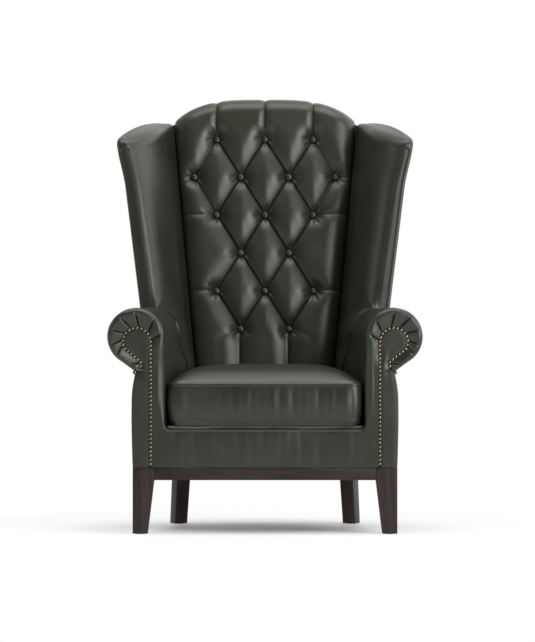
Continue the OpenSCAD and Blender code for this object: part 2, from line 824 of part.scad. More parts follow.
// Where the rolled edge ends on the outer side
roll_from = 150;
roll_to = 375;
function roll_point_at(z, a, inset) =
    [wing_edge_x(z) - wing_roll, wing_edge_d(z) + wing_roll] + (wing_roll - inset)*[cos(a), sin(a)];
function roll_end(z) = roll_point_at(z, roll_to, 0);

// Half width of the outer side at a height and a depth, straight from the roll to the rear corner
function wing_side_x(z, d) =
    let (e = roll_end(z), rear = plane_d(rear_edge_n, z))
    e.x + (rear_half(z) - e.x)*(d - e.y)/(rear - e.y);

// Plan of the pad at a height. Below the top it leaves room for the board, the panel and the post.
function wing_plan(z, inset, full) =
    let (
        join = plane_d(wing_join, z),
        rear = plane_d(full ? rear_edge_n - inset : frame_n - clr, z),
        end = roll_end(z),
        notch = inset + (full ? clr : wing_panel_t + wing_board_t + 2*clr)
    )
    concat(
        [[end.x - notch, end.y], [wing_side_x(z, rear) - notch, rear],
            [pad_half_at(rear, z) + clr, rear], [pad_half_at(join, z) + clr, join]],
        [for (a = [roll_from:22.5:roll_to]) roll_point_at(z, a, inset)]
    );

// Plan of a flat layer of the outer side, between two distances in from the leather
function layer_plan(z, t0, t1) =
    let (end = roll_end(z), rear = plane_d(rear_edge_n, z))
    [[end.x - t0, end.y], [rear_half(z) - t0, rear], [rear_half(z) - t1, rear], [end.x - t1, end.y]];

function share_z(share) = wing_foot + share*(wing_h - wing_foot);
wing_shares = [0, 0.2, 0.4, 0.6, 0.8, 1];

module arm_space(grow) {
    translate([scroll_x, y_of(0), scroll_z]) rotate([-90, 0, side_angle])
        translate([0, 0, -scroll_r]) cylinder(h = 2*rear_most, r = scroll_r + grow, $fn = 64);
    side_bar(arm_in - grow, arm_out, 0, 2*rear_most, neck_foot_z, scroll_z);
}

// One ring of a wing: each point of a plan, taken at that point's own height
function wing_ring(share, drop, plan) =
    let (rough = plan(share_z(share)))
    [for (i = [0:len(rough) - 1])
        let (z = wing_foot + share*(wing_top(rough[i].y) - drop - wing_foot), p = plan(z)[i])
        [p.x, y_of(p.y), z]];
function pad_ring(share, drop, inset, full) =
    wing_ring(share, drop, function (z) wing_plan(z, inset, full));

wing_cap = 16;

module wing_pad() {
    difference() {
        loft(concat(
            [for (s = wing_shares) pad_ring(s, wing_cap, 0, false)],
            [pad_ring(1, wing_cap - over, 0, true), pad_ring(1, wing_cap/3, wing_cap/4, true),
                pad_ring(1, 0, 0.8*wing_cap, true)]
        ));
        arm_space(2*clr);
    }
}

module wing_layer(t0, t1) {
    difference() {
        loft([for (s = wing_shares) wing_ring(s, wing_cap + clr, function (z) layer_plan(z, t0, t1))]);
        arm_space(2*clr);
    }
}

module wing_panel() {
    wing_layer(0, wing_panel_t);
}

module wing_board() {
    wing_layer(wing_panel_t + clr, wing_panel_t + clr + wing_board_t);
}

// Seat
module front_border_piece() {
    top = deck_top;
    intersection() {
        rotate([90, 0, 90]) translate([0, 0, -arm_in]) linear_extrude(2*arm_in) union() {
            translate([y_of(border_inset), seat_z + clr])
                square([border_t, top - border_r - seat_z - clr]);
            translate([y_of(border_inset + border_r), seat_z + clr])
                square([border_t - border_r, top - seat_z - clr]);
            translate([y_of(border_inset + border_r), top - border_r]) circle(r = border_r, $fn = 64);
        }
        cross_bar(arm_in - clr, 0, border_inset + border_t, seat_z, top + over);
    }
}

module seat_deck_piece() {
    cross_bar(arm_in - clr, front_rail_d, plane_d(frame_n - clr, deck_z), deck_z, deck_top);
}

module dust_cover_piece() {
    difference() {
        cross_bar(base_x - front_leg_w - clr, plinth_inset + plinth_t + clr, side_end - clr,
            seat_z - dust_t, seat_z);
        leg_block_shape(1);
        left_side() leg_block_shape(1);
    }
}

// Cushion: plan points on a rounded outline that draws in with the arms, each with how free it is to draw in
cushion_d0 = cushion_inset;
cushion_d1 = plane_d(0, cushion_z) - cushion_back_gap;
function cushion_half(d) = arm_in - cushion_gap - draw_in*d;
side_shares = [0.25, 0.5, 0.75];

function corner(cx, cy, a0) =
    [for (a = [a0:15:a0 + 90]) [cx + cushion_r*cos(a), cy + cushion_r*sin(a), 0]];
function between(p, q) = [for (s = side_shares) [p.x + s*(q.x - p.x), p.y + s*(q.y - p.y), 4*s*(1 - s)]];

cushion_plan =
    let (
        front = cushion_d0 + cushion_r,
        rear = cushion_d1 - cushion_r,
        xf = cushion_half(front) - cushion_r,
        xr = cushion_half(rear) - cushion_r,
        a = corner(xf, front, -90),
        b = corner(xr, rear, 0),
        c = corner(-xr, rear, 90),
        d = corner(-xf, front, 180)
    )
    concat(a, between(a[6], b[0]), b, between(b[6], c[0]), c, between(c[6], d[0]), d, between(d[6], a[0]));

cushion_mid = (cushion_d0 + cushion_d1)/2;

// A ring of the cushion, drawn in by a length and scaled about its middle
function cushion_ring(z, inset, draw, scale) =
    [for (p = cushion_plan)
        let (
            away = [p.x, p.y - cushion_mid],
            kept = scale - (inset + draw*p[2])/norm(away),
            d = cushion_mid + kept*away.y,
            lean = (z - cushion_z)*tan(rake)*(d - cushion_d0)/(cushion_d1 - cushion_d0)
        )
        [kept*away.x, y_of(d + lean), z]];

crown_shares = [0.97, 0.9, 0.78, 0.6, 0.38, 0.14];
cushion_edge = 6;

// Height of the crown over the cushion's top seam, at a share of the way from the middle to the seam
function crown_rise(share) = cushion_crown*pow(1 - pow(share, 4), 0.75);

module cushion_core_shape(grow) {
    room = wadding - grow;
    z0 = cushion_z + room/2;
    d0 = cushion_d0 + room;
    d1 = cushion_d1 - room;
    translate([0, 0, z0]) linear_extrude(cushion_t - room) polygon([
        [-cushion_half(d0) + room, y_of(d0)], [cushion_half(d0) - room, y_of(d0)],
        [cushion_half(d1) - room, y_of(d1)], [-cushion_half(d1) + room, y_of(d1)]
    ]);
}

module seat_cushion_piece() {
    top = cushion_z + cushion_t;
    difference() {
        loft(concat(
            [cushion_ring(cushion_z, cushion_edge, 0, 1), cushion_ring(cushion_z + cushion_edge, 0, 0, 1),
                cushion_ring(cushion_z + cushion_t/2, 0, cushion_draw, 1),
                cushion_ring(top - cushion_edge, 0, 0, 1), cushion_ring(top, cushion_edge/2, 0, 1)],
            [for (s = crown_shares)
                cushion_ring(top + crown_rise(s), cushion_edge/2, 0, s)]
        ));
        cushion_core_shape(clr);
    }
}

// The pieces by name
module front_left_leg() { color(timber) left_side() front_leg(); }
module front_right_leg() { color(timber) front_leg(); }
module rear_left_leg() { color(timber) left_side() rear_leg(); }
module rear_right_leg() { color(timber) rear_leg(); }
module leg_glides() {
    color(black_cloth) {
        front_glide();
        rear_glide();
        left_side() front_glide();
        left_side() rear_glide();
    }
}
module rear_leg_blocks() { color(pine) { leg_block_piece(); left_side() leg_block_piece(); } }
module rear_leg_bolts() { color(steel) { leg_bolt(0); left_side() leg_bolt(0); } }
module base_front_rail() { color(timber) base_front_rail_piece(); }
module base_rear_rail() {
    color(timber) difference() {
        cross_bar(base_x, side_end, base_d, plinth_z, seat_z);
        screws(clr);
    }
}
module base_left_rail() { color(timber) left_side() base_side_rail(); }
module base_right_rail() { color(timber) base_side_rail(); }
module base_screws() { color(steel) { screws(0); side_screws(0); left_side() side_screws(0); } }
module seat_front_rail() { color(pine) seat_front_rail_piece(); }
module seat_rear_rail() { color(pine) seat_rear_rail_piece(); }
module seat_left_rail() { color(pine) left_side() seat_side_rail(); }
module seat_right_rail() { color(pine) seat_side_rail(); }
module seat_corner_blocks() { color(pine) { corner_blocks_right(); left_side() corner_blocks_right(); } }
module left_arm_post() { color(pine) left_side() arm_post(); }
module right_arm_post() { color(pine) arm_post(); }
module left_arm_rail() { color(pine) left_side() arm_rail(); }
module right_arm_rail() { color(pine) arm_rail(); }
module left_back_post() { color(pine) left_side() back_post_shape(0); }
module right_back_post() { color(pine) back_post_shape(0); }
module crest_rail() { color(pine) back_rail(crest_low, crest_top); }
module lower_back_rail() { color(pine) back_rail(lower_rail_v, lower_rail_v + lower_rail_h); }
module left_wing_board() { color(pine) left_side() wing_board(); }
module right_wing_board() { color(pine) wing_board(); }
module seat_springs() {
    color(steel) for (x = spring_xs) translate([x, y_of(spring_start), rail_z]) spring_piece();
}
module spring_clips() {
    color(steel) for (x = spring_xs, t = [spring_wire, spring_len - spring_wire])
        translate([x, y_of(spring_start + t), rail_z]) spring_clip();
}
module back_webbing() { color(linen) back_webbing_piece(); }
module seat_deck() { color(dark_leather) seat_deck_piece(); }
module dust_cover() { color(black_cloth) dust_cover_piece(); }
module inside_back() { color(leather) inside_back_piece(); }
module back_buttons() { color(dark_leather) back_buttons_piece(); }
module outside_back() { color(leather) outside_back_piece(); }
module left_wing() { color(leather) left_side() wing_pad(); }
module right_wing() { color(leather) wing_pad(); }
module left_outside_wing() { color(leather) left_side() wing_panel(); }
module right_outside_wing() { color(leather) wing_panel(); }
module left_arm_cover() { color(leather) left_side() arm_cover(); }
module right_arm_cover() { color(leather) arm_cover(); }
module left_outside_arm() { color(leather) left_side() outside_arm(); }
module right_outside_arm() { color(leather) outside_arm(); }
module left_arm_facing() { color(dark_leather) left_side() arm_facing(); }
module right_arm_facing() { color(dark_leather) arm_facing(); }
module left_nailheads() { color(brass) left_side() nailheads(); }
module right_nailheads() { color(brass) nailheads(); }
module front_border() { color(leather) front_border_piece(); }
module seat_cushion() { color(leather) seat_cushion_piece(); }
module cushion_core() { color(linen) cushion_core_shape(0); }

front_left_leg();
front_right_leg();
rear_left_leg();
rear_right_leg();
leg_glides();
rear_leg_blocks();
rear_leg_bolts();
base_front_rail();
base_rear_rail();
base_left_rail();
base_right_rail();
base_screws();
seat_front_rail();
seat_rear_rail();
seat_left_rail();
seat_right_rail();
seat_corner_blocks();
left_arm_post();
right_arm_post();
left_arm_rail();
right_arm_rail();
left_back_post();
right_back_post();
crest_rail();
lower_back_rail();
left_wing_board();
right_wing_board();
seat_springs();
spring_clips();
back_webbing();
seat_deck();
dust_cover();
inside_back();
back_buttons();
outside_back();
left_wing();
right_wing();
left_outside_wing();
right_outside_wing();
left_arm_cover();
right_arm_cover();
left_outside_arm();
right_outside_arm();
left_arm_facing();
right_arm_facing();
left_nailheads();
right_nailheads();
front_border();
seat_cushion();
cushion_core();
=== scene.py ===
"""Dresses a high-back wing armchair: tufted leather, scroll arms with nailheads, timber base."""
import json
import logging
import math
from dataclasses import dataclass
from enum import Enum
from typing import Callable, Sequence

import bmesh
import bpy
import numpy as np
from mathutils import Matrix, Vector, noise


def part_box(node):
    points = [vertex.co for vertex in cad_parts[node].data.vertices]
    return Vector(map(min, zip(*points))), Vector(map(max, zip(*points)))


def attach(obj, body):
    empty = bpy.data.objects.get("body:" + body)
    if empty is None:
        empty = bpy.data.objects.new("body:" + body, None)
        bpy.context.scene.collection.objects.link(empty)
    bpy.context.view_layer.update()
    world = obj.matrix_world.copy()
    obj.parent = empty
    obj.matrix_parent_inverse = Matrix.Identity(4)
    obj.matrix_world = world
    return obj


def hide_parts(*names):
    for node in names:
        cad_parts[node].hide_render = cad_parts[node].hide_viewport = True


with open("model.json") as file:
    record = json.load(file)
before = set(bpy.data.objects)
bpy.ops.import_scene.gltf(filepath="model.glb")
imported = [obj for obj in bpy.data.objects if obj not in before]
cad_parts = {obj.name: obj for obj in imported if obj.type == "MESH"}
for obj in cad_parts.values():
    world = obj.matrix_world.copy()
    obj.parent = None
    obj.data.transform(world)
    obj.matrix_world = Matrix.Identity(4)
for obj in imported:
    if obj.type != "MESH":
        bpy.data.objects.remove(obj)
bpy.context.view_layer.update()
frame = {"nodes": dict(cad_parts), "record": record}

log = logging.getLogger("wing_armchair")

# Short names for types
Array = np.ndarray
Color = tuple[float, float, float, float]
Faces = list[tuple[int, ...]]
Piece = bpy.types.Object
Socket = bpy.types.NodeSocket

FRAME_BODY = "frame"
CUSHION_BODY = "cushion"
# Clear gap at a seam between two pieces
SEAM_GAP = 0.0003
# Half width that stands for no limit
FAR_OUT = 9.0
# Decimals to which two places count as the same
PLACE_DIGITS = 5
# Reach within which a corner counts as on an edge
PICK_REACH = 0.001


class Side(Enum):
    """The side of the chair, as the sign of X."""

    LEFT = -1
    RIGHT = 1

    @property
    def word(self) -> str:
        """The side's name as it stands in the names of pieces."""
        return self.name.lower()


class GrainAxis(Enum):
    """The axis along which the timber's grain runs, with the stretch that its pattern gets."""

    ALONG_X = (0.06, 1.0, 1.0)
    ALONG_Y = (1.0, 0.06, 1.0)
    UPRIGHT = (1.0, 1.0, 0.06)


# Mesh helpers

def ease(low: float, high: float, value: Array) -> Array:
    """A smooth step from 0 at low to 1 at high."""
    t = np.clip((np.asarray(value, dtype=float) - low) / (high - low), 0, 1)
    return t * t * (3 - 2 * t)


def ripple(points: Array, scale: Sequence[float], seed: float) -> Array:
    """Smooth noise at points.

    Args:
        points: places, in rows of three.
        scale: waves per metre along each axis.
        seed: offset that picks the pattern.

    Returns:
        One value from about -1 to 1 for each point.
    """
    flat = points.reshape(-1, 3) * np.array(scale) + seed
    values = np.array([noise.noise(Vector(p)) for p in flat])
    return values.reshape(points.shape[:-1])


def make_mesh(name: str, points: Array, faces: Faces) -> Piece:
    """Links a new mesh object with merged doubles and faces that point outwards.

    Args:
        name: name of the object.
        points: corners in metres, in rows of three.
        faces: corner numbers of each face.

    Returns:
        The new object.
    """
    mesh = bpy.data.meshes.new(name)
    mesh.from_pydata([tuple(p) for p in points.reshape(-1, 3)], [], faces)
    shape = bmesh.new()
    shape.from_mesh(mesh)
    bmesh.ops.remove_doubles(shape, verts=shape.verts, dist=1e-5)
    bmesh.ops.dissolve_degenerate(shape, edges=shape.edges, dist=1e-6)
    bmesh.ops.recalc_face_normals(shape, faces=shape.faces)
    shape.to_mesh(mesh)
    shape.free()
    mesh.update()
    piece = bpy.data.objects.new(name, mesh)
    bpy.context.scene.collection.objects.link(piece)
    return piece


def ring_shell(name: str, rings: Array) -> Piece:
    """A closed shell through closed rings of points, with a flat face at each end.

    Args:
        name: name of the object.
        rings: points by ring and by place on the ring.

    Returns:
        The new object.
    """
    count, around = rings.shape[:2]
    faces: Faces = []
    for low in range(0, (count - 1) * around, around):
        for i in range(around):
            k = (i + 1) % around
            faces.append((low + i, low + k, low + around + k, low + around + i))
    faces.append(tuple(range(around - 1, -1, -1)))
    faces.append(tuple(range((count - 1) * around, count * around)))
    return make_mesh(name, rings, faces)


def pad_shell(name: str, outer: Array, inner: Array) -> Piece:
    """A closed pad between an outer and an inner grid of points of the same size.

    Args:
        name: name of the object.
        outer: grid of the side that shows.
        inner: grid of the side behind it.

    Returns:
        The new object.
    """
    rows, cols = outer.shape[:2]
    size = rows * cols
    faces: Faces = []
    for j in range(rows - 1):
        for i in range(cols - 1):
            a = j * cols + i
            quad = (a, a + 1, a + cols + 1, a + cols)
            faces.append(quad)
            faces.append(tuple(size + q for q in reversed(quad)))
    rim = list(range(cols)) + [j * cols + cols - 1 for j in range(1, rows)]
    rim += [(rows - 1) * cols + i for i in range(cols - 2, -1, -1)]
    rim += [j * cols for j in range(rows - 2, 0, -1)]
    for a, b in zip(rim, rim[1:] + rim[:1]):
        faces.append((a, b, size + b, size + a))
    return make_mesh(name, np.concatenate([outer.reshape(-1, 3), inner.reshape(-1, 3)]), faces)


def side_shell(side: Side, name: str, outer: Array, inner: Array) -> Piece:
    """A closed pad for one side of the chair, between two grids that lie on the right."""
    flip = np.array([side.value, 1, 1])
    return pad_shell(f"{side.word}_{name}", outer * flip, inner * flip)


def rounded_edge(distance: Array, radius: float) -> Array:
    """How far a rounded edge falls back at a distance from the edge."""
    t = np.clip(1 - distance / radius, 0, 1)
    return radius * (1 - np.sqrt(1 - t * t))


def flow(value: Array, marks: Sequence[float], levels: Sequence[float]) -> Array:
    """A smooth curve through given levels.

    Args:
        value: places at which it is read.
        marks: rising places of the levels.
        levels: the levels.

    Returns:
        The level at each place.
    """
    at, level = np.array(marks), np.array(levels)
    slope = np.gradient(level, at)
    i = np.clip(np.searchsorted(at, value) - 1, 0, len(at) - 2)
    span = at[i + 1] - at[i]
    t = np.clip((value - at[i]) / span, 0, 1)
    start = (2 * t ** 3 - 3 * t ** 2 + 1) * level[i] + (t ** 3 - 2 * t ** 2 + t) * span * slope[i]
    return (start + (3 * t ** 2 - 2 * t ** 3) * level[i + 1]
            + (t ** 3 - t ** 2) * span * slope[i + 1])


def soft_least(first: Array, second: Array, blend: float) -> Array:
    """The smaller of two values, rounded off where they meet."""
    share = np.clip(0.5 + 0.5 * (second - first) / blend, 0, 1)
    return second + share * (first - second) - blend * share * (1 - share)


def hook(first: Array, corner: Array, last: Array, share: Array) -> Array:
    """Points of a curve from a first to a last point, pulled to a corner."""
    t = share[:, None]
    return (1 - t) ** 2 * first + 2 * t * (1 - t) * corner + t ** 2 * last


def upright(x: float, low: float, high: float, count: int) -> Array:
    """Points up a line from low to just short of high."""
    return np.stack([np.full(count, x), np.linspace(low, high, count, endpoint=False)], 1)


def arc(middle: tuple[float, float], radius: float, first: float, last: float,
        count: int) -> Array:
    """Points of an arc between two angles in degrees."""
    a = np.radians(np.linspace(first, last, count))
    return np.stack([middle[0] + radius * np.cos(a), middle[1] + radius * np.sin(a)], 1)


def even_steps(path: Array, count: int, closed: bool = False) -> Array:
    """Points at even steps along a path, without its last point if it is closed."""
    run = np.concatenate([[0], np.cumsum(np.linalg.norm(np.diff(path, axis=0), axis=1))])
    at = np.linspace(0, run[-1], count, endpoint=not closed)
    return np.stack([np.interp(at, run, path[:, 0]), np.interp(at, run, path[:, 1])], 1)


def set_mask(piece: Piece, name: str, values: Callable[[Array], Array]) -> None:
    """Stores a value at each corner of a piece.

    Args:
        piece: the object.
        name: name of the attribute.
        values: function from the places of the corners to the values.
    """
    mesh = piece.data
    places = np.empty(len(mesh.vertices) * 3)
    mesh.vertices.foreach_get("co", places)
    layer = mesh.attributes.new(name, "FLOAT", "POINT")
    layer.data.foreach_set("value", np.asarray(values(places.reshape(-1, 3)), dtype=np.float32))


def store_folds(piece: Piece, grid: Array, values: Array) -> None:
    """Stores a fold mask, which the finish paints as shade, on the piece that was made from a grid,
    by place.

    Args:
        piece: the object.
        grid: points of the grid.
        values: fold at each point, painted as shade, and on nailheads partly as tarnish.
    """
    points = np.round(grid.reshape(-1, 3), PLACE_DIGITS)
    found = {tuple(p): v for p, v in zip(points, values.reshape(-1))}
    set_mask(piece, "fold", lambda places: np.array(
        [found.get(tuple(p), 0.0) for p in np.round(places, PLACE_DIGITS)]))


def smooth(piece: Piece, angle: float) -> None:
    """Shades a piece smooth.

    Args:
        piece: the object.
        angle: largest angle between faces, in degrees.
    """
    bpy.ops.object.select_all(action="DESELECT")
    bpy.context.view_layer.objects.active = piece
    piece.select_set(True)
    bpy.ops.object.shade_smooth_by_angle(angle=math.radians(angle))
    piece.select_set(False)


def settle(piece: Piece, finish: bpy.types.Material, slot: str, *nodes: str,
           body: str = FRAME_BODY, fill: float | None = None, angle: float = 40) -> None:
    """Smooths and dresses a finished piece and ties it to its body.

    Args:
        piece: the object, in its place.
        finish: its material.
        slot: the record's material slot; not used.
        nodes: nodes that the piece stands for.
        body: the body that it rides on.
        fill: how full it is, if it is padded; not used.
        angle: angle up to which it is shaded smooth, in degrees.
    """
    smooth(piece, angle)
    piece.data.materials.clear()
    piece.data.materials.append(finish)
    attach(piece, body)
    if nodes:
        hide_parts(*nodes)
    log.info("%s: %d faces", piece.name, len(piece.data.polygons))


# Modelling by operators

def start_block(name: str, low: Sequence[float], high: Sequence[float]) -> Piece:
    """Adds a block between two corners and leaves it in edit mode with nothing selected.

    Args:
        name: name of the object.
        low: lowest corner.
        high: highest corner.

    Returns:
        The new object.
    """
    bpy.ops.object.select_all(action="DESELECT")
    middle = [(a + b) / 2 for a, b in zip(low, high)]
    size = [b - a for a, b in zip(low, high)]
    bpy.ops.mesh.primitive_cube_add(size=1, location=middle, scale=size)
    piece = bpy.context.active_object
    piece.name = name
    bpy.ops.object.transform_apply(location=True, rotation=True, scale=True)
    bpy.ops.object.mode_set(mode="EDIT")
    bpy.ops.mesh.select_all(action="DESELECT")
    return piece


def pick(piece: Piece, test: Callable[[Vector], bool]) -> None:
    """Selects corners of a piece.

    Args:
        piece: the object, in edit mode.
        test: whether a place is picked.
    """
    shape = bmesh.from_edit_mesh(piece.data)
    for item in (*shape.verts, *shape.edges, *shape.faces):
        item.select = False
    bpy.context.tool_settings.mesh_select_mode = (True, False, False)
    for corner in shape.verts:
        corner.select = test(corner.co)
    shape.select_flush_mode()
    bmesh.update_edit_mesh(piece.data)


def end_block(bevel: float) -> None:
    """Bevels all edges of the piece in edit mode, then leaves edit mode.

    Args:
        bevel: width of the bevel.
    """
    bpy.context.tool_settings.mesh_select_mode = (False, True, False)
    bpy.ops.mesh.select_all(action="SELECT")
    bpy.ops.mesh.normals_make_consistent(inside=False)
    bpy.ops.mesh.bevel(offset=bevel, segments=3, affect="EDGES")
    bpy.ops.object.mode_set(mode="OBJECT")


def start_ball(radius: float, segments: int, rings: int) -> Piece:
    """Adds a ball at the origin and leaves it in edit mode with all of it selected.

    Args:
        radius: its radius.
        segments: faces round it.
        rings: faces from pole to pole.

    Returns:
        The new object.
    """
    bpy.ops.object.select_all(action="DESELECT")
    bpy.ops.mesh.primitive_uv_sphere_add(segments=segments, ring_count=rings, radius=radius)
    bpy.ops.object.mode_set(mode="EDIT")
    bpy.ops.mesh.select_all(action="SELECT")
    return bpy.context.active_object


def take_shape(piece: Piece) -> tuple[Array, Faces]:
    """Takes the shape of a piece and removes it.

    Args:
        piece: the object, in edit mode.

    Returns:
        Its corners, and the corner numbers of its faces.
    """
    bpy.ops.object.mode_set(mode="OBJECT")
    places = np.array([v.co[:] for v in piece.data.vertices])
    faces = [tuple(p.vertices) for p in piece.data.polygons]
    bpy.data.objects.remove(piece)
    return places, faces


def make_copies(name: str, shapes: list[Array], faces: Faces) -> Piece:
    """One object of several shapes that share the same faces.

    Args:
        name: name of the object.
        shapes: the corners of each shape.
        faces: corner numbers of one shape's faces.

    Returns:
        The new object.
    """
    size = len(shapes[0])
    all_faces = [tuple(size * number + i for i in face)
                 for number in range(len(shapes)) for face in faces]
    return make_mesh(name, np.concatenate(shapes), all_faces)


# Finishes

class NodeSheet:
    """Adds nodes and links to one node tree, from left to right."""

    def __init__(self, tree: bpy.types.NodeTree) -> None:
        """Starts on a tree."""
        self.tree = tree
        self.count = 0

    def add(self, kind: str, sets: dict[str, object] | None = None,
            **inputs: object) -> bpy.types.Node:
        """Adds a node.

        Args:
            kind: the node's type name.
            sets: properties of the node.
            inputs: values or sockets for its inputs, named as for feed.

        Returns:
            The new node.
        """
        node = self.tree.nodes.new(kind)
        node.location = (self.count * 180, 0)
        self.count += 1
        for key, value in (sets or {}).items():
            setattr(node, key, value)
        self.feed(node, **inputs)
        return node

    def feed(self, node: bpy.types.Node, **inputs: object) -> None:
        """Sets or links inputs of a node.

        Args:
            node: the node.
            inputs: values or sockets by the input's name, with _ for a space, or by in_ and
                its number.
        """
        for key, value in inputs.items():
            name = key.replace("_", " ")
            socket = node.inputs[int(name[3:]) if name.startswith("in ") else name]
            if isinstance(value, Socket):
                self.tree.links.new(value, socket)
            else:
                socket.default_value = value

    def group(self, build: Callable[[], bpy.types.NodeTree], **inputs: object) -> bpy.types.Node:
        """Adds a node group, which is built at its first use and named after its builder."""
        tree = bpy.data.node_groups.get(build.__name__) or build()
        return self.add("ShaderNodeGroup", {"node_tree": tree}, **inputs)

    def place(self) -> Socket:
        """The place in Object coordinates."""
        return self.add("ShaderNodeTexCoord").outputs["Object"]

    def mask(self, name: str) -> Socket:
        """A value that the mesh carries at its corners."""
        return self.add("ShaderNodeAttribute", {"attribute_name": name}).outputs["Fac"]

    def cloud(self, place: Socket, **inputs: float) -> Socket:
        """Smooth noise."""
        return self.add("ShaderNodeTexNoise", Vector=place, **inputs).outputs["Fac"]

    def ramp(self, value: Socket, low: float, high: float) -> Socket:
        """The value, spread from 0 at low to 1 at high."""
        node = self.add("ShaderNodeMapRange", Value=value, From_Min=low, From_Max=high)
        return node.outputs["Result"]

    def mix(self, factor: object, low: object, high: object) -> Socket:
        """A colour between two colours."""
        node = self.add("ShaderNodeMix", {"data_type": "RGBA"}, in_0=factor, in_6=low, in_7=high)
        return node.outputs[2]

    def sum(self, operation: str, *values: object, clamp: bool = False) -> Socket:
        """Adds a sum.

        Args:
            operation: its name.
            values: two or three values or sockets.
            clamp: whether the outcome is kept from 0 to 1.

        Returns:
            The outcome.
        """
        inputs = {f"in_{i}": value for i, value in enumerate(values)}
        sets = {"operation": operation, "use_clamp": clamp}
        return self.add("ShaderNodeMath", sets, **inputs).outputs[0]

    def bump(self, strength: float, distance: float, height: Socket) -> Socket:
        """A normal from a height."""
        node = self.add("ShaderNodeBump", Strength=strength, Distance=distance, Height=height)
        return node.outputs["Normal"]


def group_sheet(name: str, inputs: str,
                outputs: str) -> tuple[NodeSheet, bpy.types.bpy_prop_collection]:
    """A new shader node group.

    Args:
        name: name of the group.
        inputs: names of its inputs with their kinds, as in Tint:Color.
        outputs: names of its outputs with their kinds.

    Returns:
        The group's sheet, and the outputs of its input node.
    """
    tree = bpy.data.node_groups.new(name, "ShaderNodeTree")
    for sockets, way in ((inputs, "INPUT"), (outputs, "OUTPUT")):
        for label, kind in (socket.split(":") for socket in sockets.split()):
            tree.interface.new_socket(name=label, in_out=way, socket_type=f"NodeSocket{kind}")
    sheet = NodeSheet(tree)
    return sheet, sheet.add("NodeGroupInput").outputs


def hide_surface() -> bpy.types.NodeTree:
    """The look of a leather hide: mottled colour, painted sheen on the ridges, painted shade in the
    folds and a pebbled grain.

    Returns:
        A group with Color, Roughness and Height, read from Object coordinates and the masks.
    """
    sheet, given = group_sheet(
        "hide_surface", "Tint:Color Dark:Color Worn:Color Roughness:Float Grain:Float",
        "Color:Color Roughness:Float Height:Float")
    place, fold, ridge = sheet.place(), sheet.mask("fold"), sheet.mask("ridge")
    patch = sheet.ramp(sheet.cloud(place, Scale=7.0, Detail=4.0, Roughness=0.6), 0.35, 0.7)
    tinted = sheet.mix(sheet.sum("MULTIPLY", patch, 0.35), given["Tint"], given["Worn"])
    # Painted sheen: the ridge mask lightens the tufting's highest leather towards the lighter
    # colour.
    worn = sheet.mix(sheet.sum("MULTIPLY", ridge, 0.6), tinted, given["Worn"])
    # Painted shade: the fold mask darkens pleats, button pockets, seams and joints towards the dark
    # colour.
    color = sheet.mix(sheet.sum("MULTIPLY", fold, 0.85), worn, given["Dark"])
    pebbles = sheet.add("ShaderNodeTexVoronoi", {"feature": "DISTANCE_TO_EDGE"}, Vector=place,
                        Scale=given["Grain"], Randomness=0.9)
    pebble = sheet.ramp(pebbles.outputs["Distance"], 0.0, 0.22)
    pores = sheet.cloud(place, Scale=900.0, Detail=3.0)
    creases = sheet.cloud(place, Scale=42.0, Detail=5.0, Roughness=0.55, Distortion=0.8)
    height = sheet.sum("MULTIPLY", pebble, 0.5)
    height = sheet.sum("MULTIPLY_ADD", pores, 0.35, height)
    height = sheet.sum("MULTIPLY_ADD", creases, 1.6, height)
    rough = sheet.sum("MULTIPLY_ADD", patch, 0.09, given["Roughness"])
    rough = sheet.sum("MULTIPLY_ADD", fold, 0.18, rough)
    sheet.add("NodeGroupOutput", Color=color, Roughness=rough, Height=height)
    return sheet.tree


def timber_surface() -> bpy.types.NodeTree:
    """The look of stained open-grained timber.

    Returns:
        A group with Color, Roughness and Height, read from a stretched vector.
    """
    sheet, given = group_sheet(
        "timber_surface", "Vector:Vector Tint:Color Dark:Color Light:Color",
        "Color:Color Roughness:Float Height:Float")
    bands = sheet.cloud(given["Vector"], Scale=55.0, Detail=6.0, Roughness=0.62, Distortion=1.2)
    pores = sheet.cloud(given["Vector"], Scale=420.0, Detail=3.0, Roughness=0.5)
    band, pore = sheet.ramp(bands, 0.36, 0.66), sheet.ramp(pores, 0.58, 0.7)
    color = sheet.mix(band, given["Tint"], given["Light"])
    color = sheet.mix(sheet.sum("MULTIPLY", pore, 0.75), color, given["Dark"])
    rough = sheet.sum("MULTIPLY_ADD", pore, 0.2, 0.42)
    rough = sheet.sum("MULTIPLY_ADD", band, 0.08, rough)
    height = sheet.sum("SUBTRACT", sheet.sum("MULTIPLY", band, 0.4), pore)
    sheet.add("NodeGroupOutput", Color=color, Roughness=rough, Height=height)
    return sheet.tree


def weave_surface() -> bpy.types.NodeTree:
    """The look of a plain woven cloth: two crossed sets of threads.

    Returns:
        A group with Color and Height, read from Object coordinates.
    """
    sheet, given = group_sheet(
        "weave_surface", "Tint:Color Dark:Color Threads:Float", "Color:Color Height:Float")
    place = sheet.place()
    across, along = (
        sheet.add("ShaderNodeTexWave", {"bands_direction": way}, Vector=place,
                  Scale=given["Threads"]).outputs["Fac"] for way in "XY")
    height = sheet.sum("MULTIPLY", across, along)
    color = sheet.mix(height, given["Dark"], given["Tint"])
    sheet.add("NodeGroupOutput", Color=color, Height=height)
    return sheet.tree


def new_material(name: str) -> tuple[bpy.types.Material, NodeSheet, bpy.types.Node]:
    """Starts a node material.

    Args:
        name: name of the material.

    Returns:
        The material, its node sheet and its shader.
    """
    material = bpy.data.materials.new(name)
    material.use_nodes = True
    tree = material.node_tree
    return material, NodeSheet(tree), tree.nodes["Principled BSDF"]


def grey(level: float) -> Color:
    """A grey of one level."""
    return level, level, level, 1


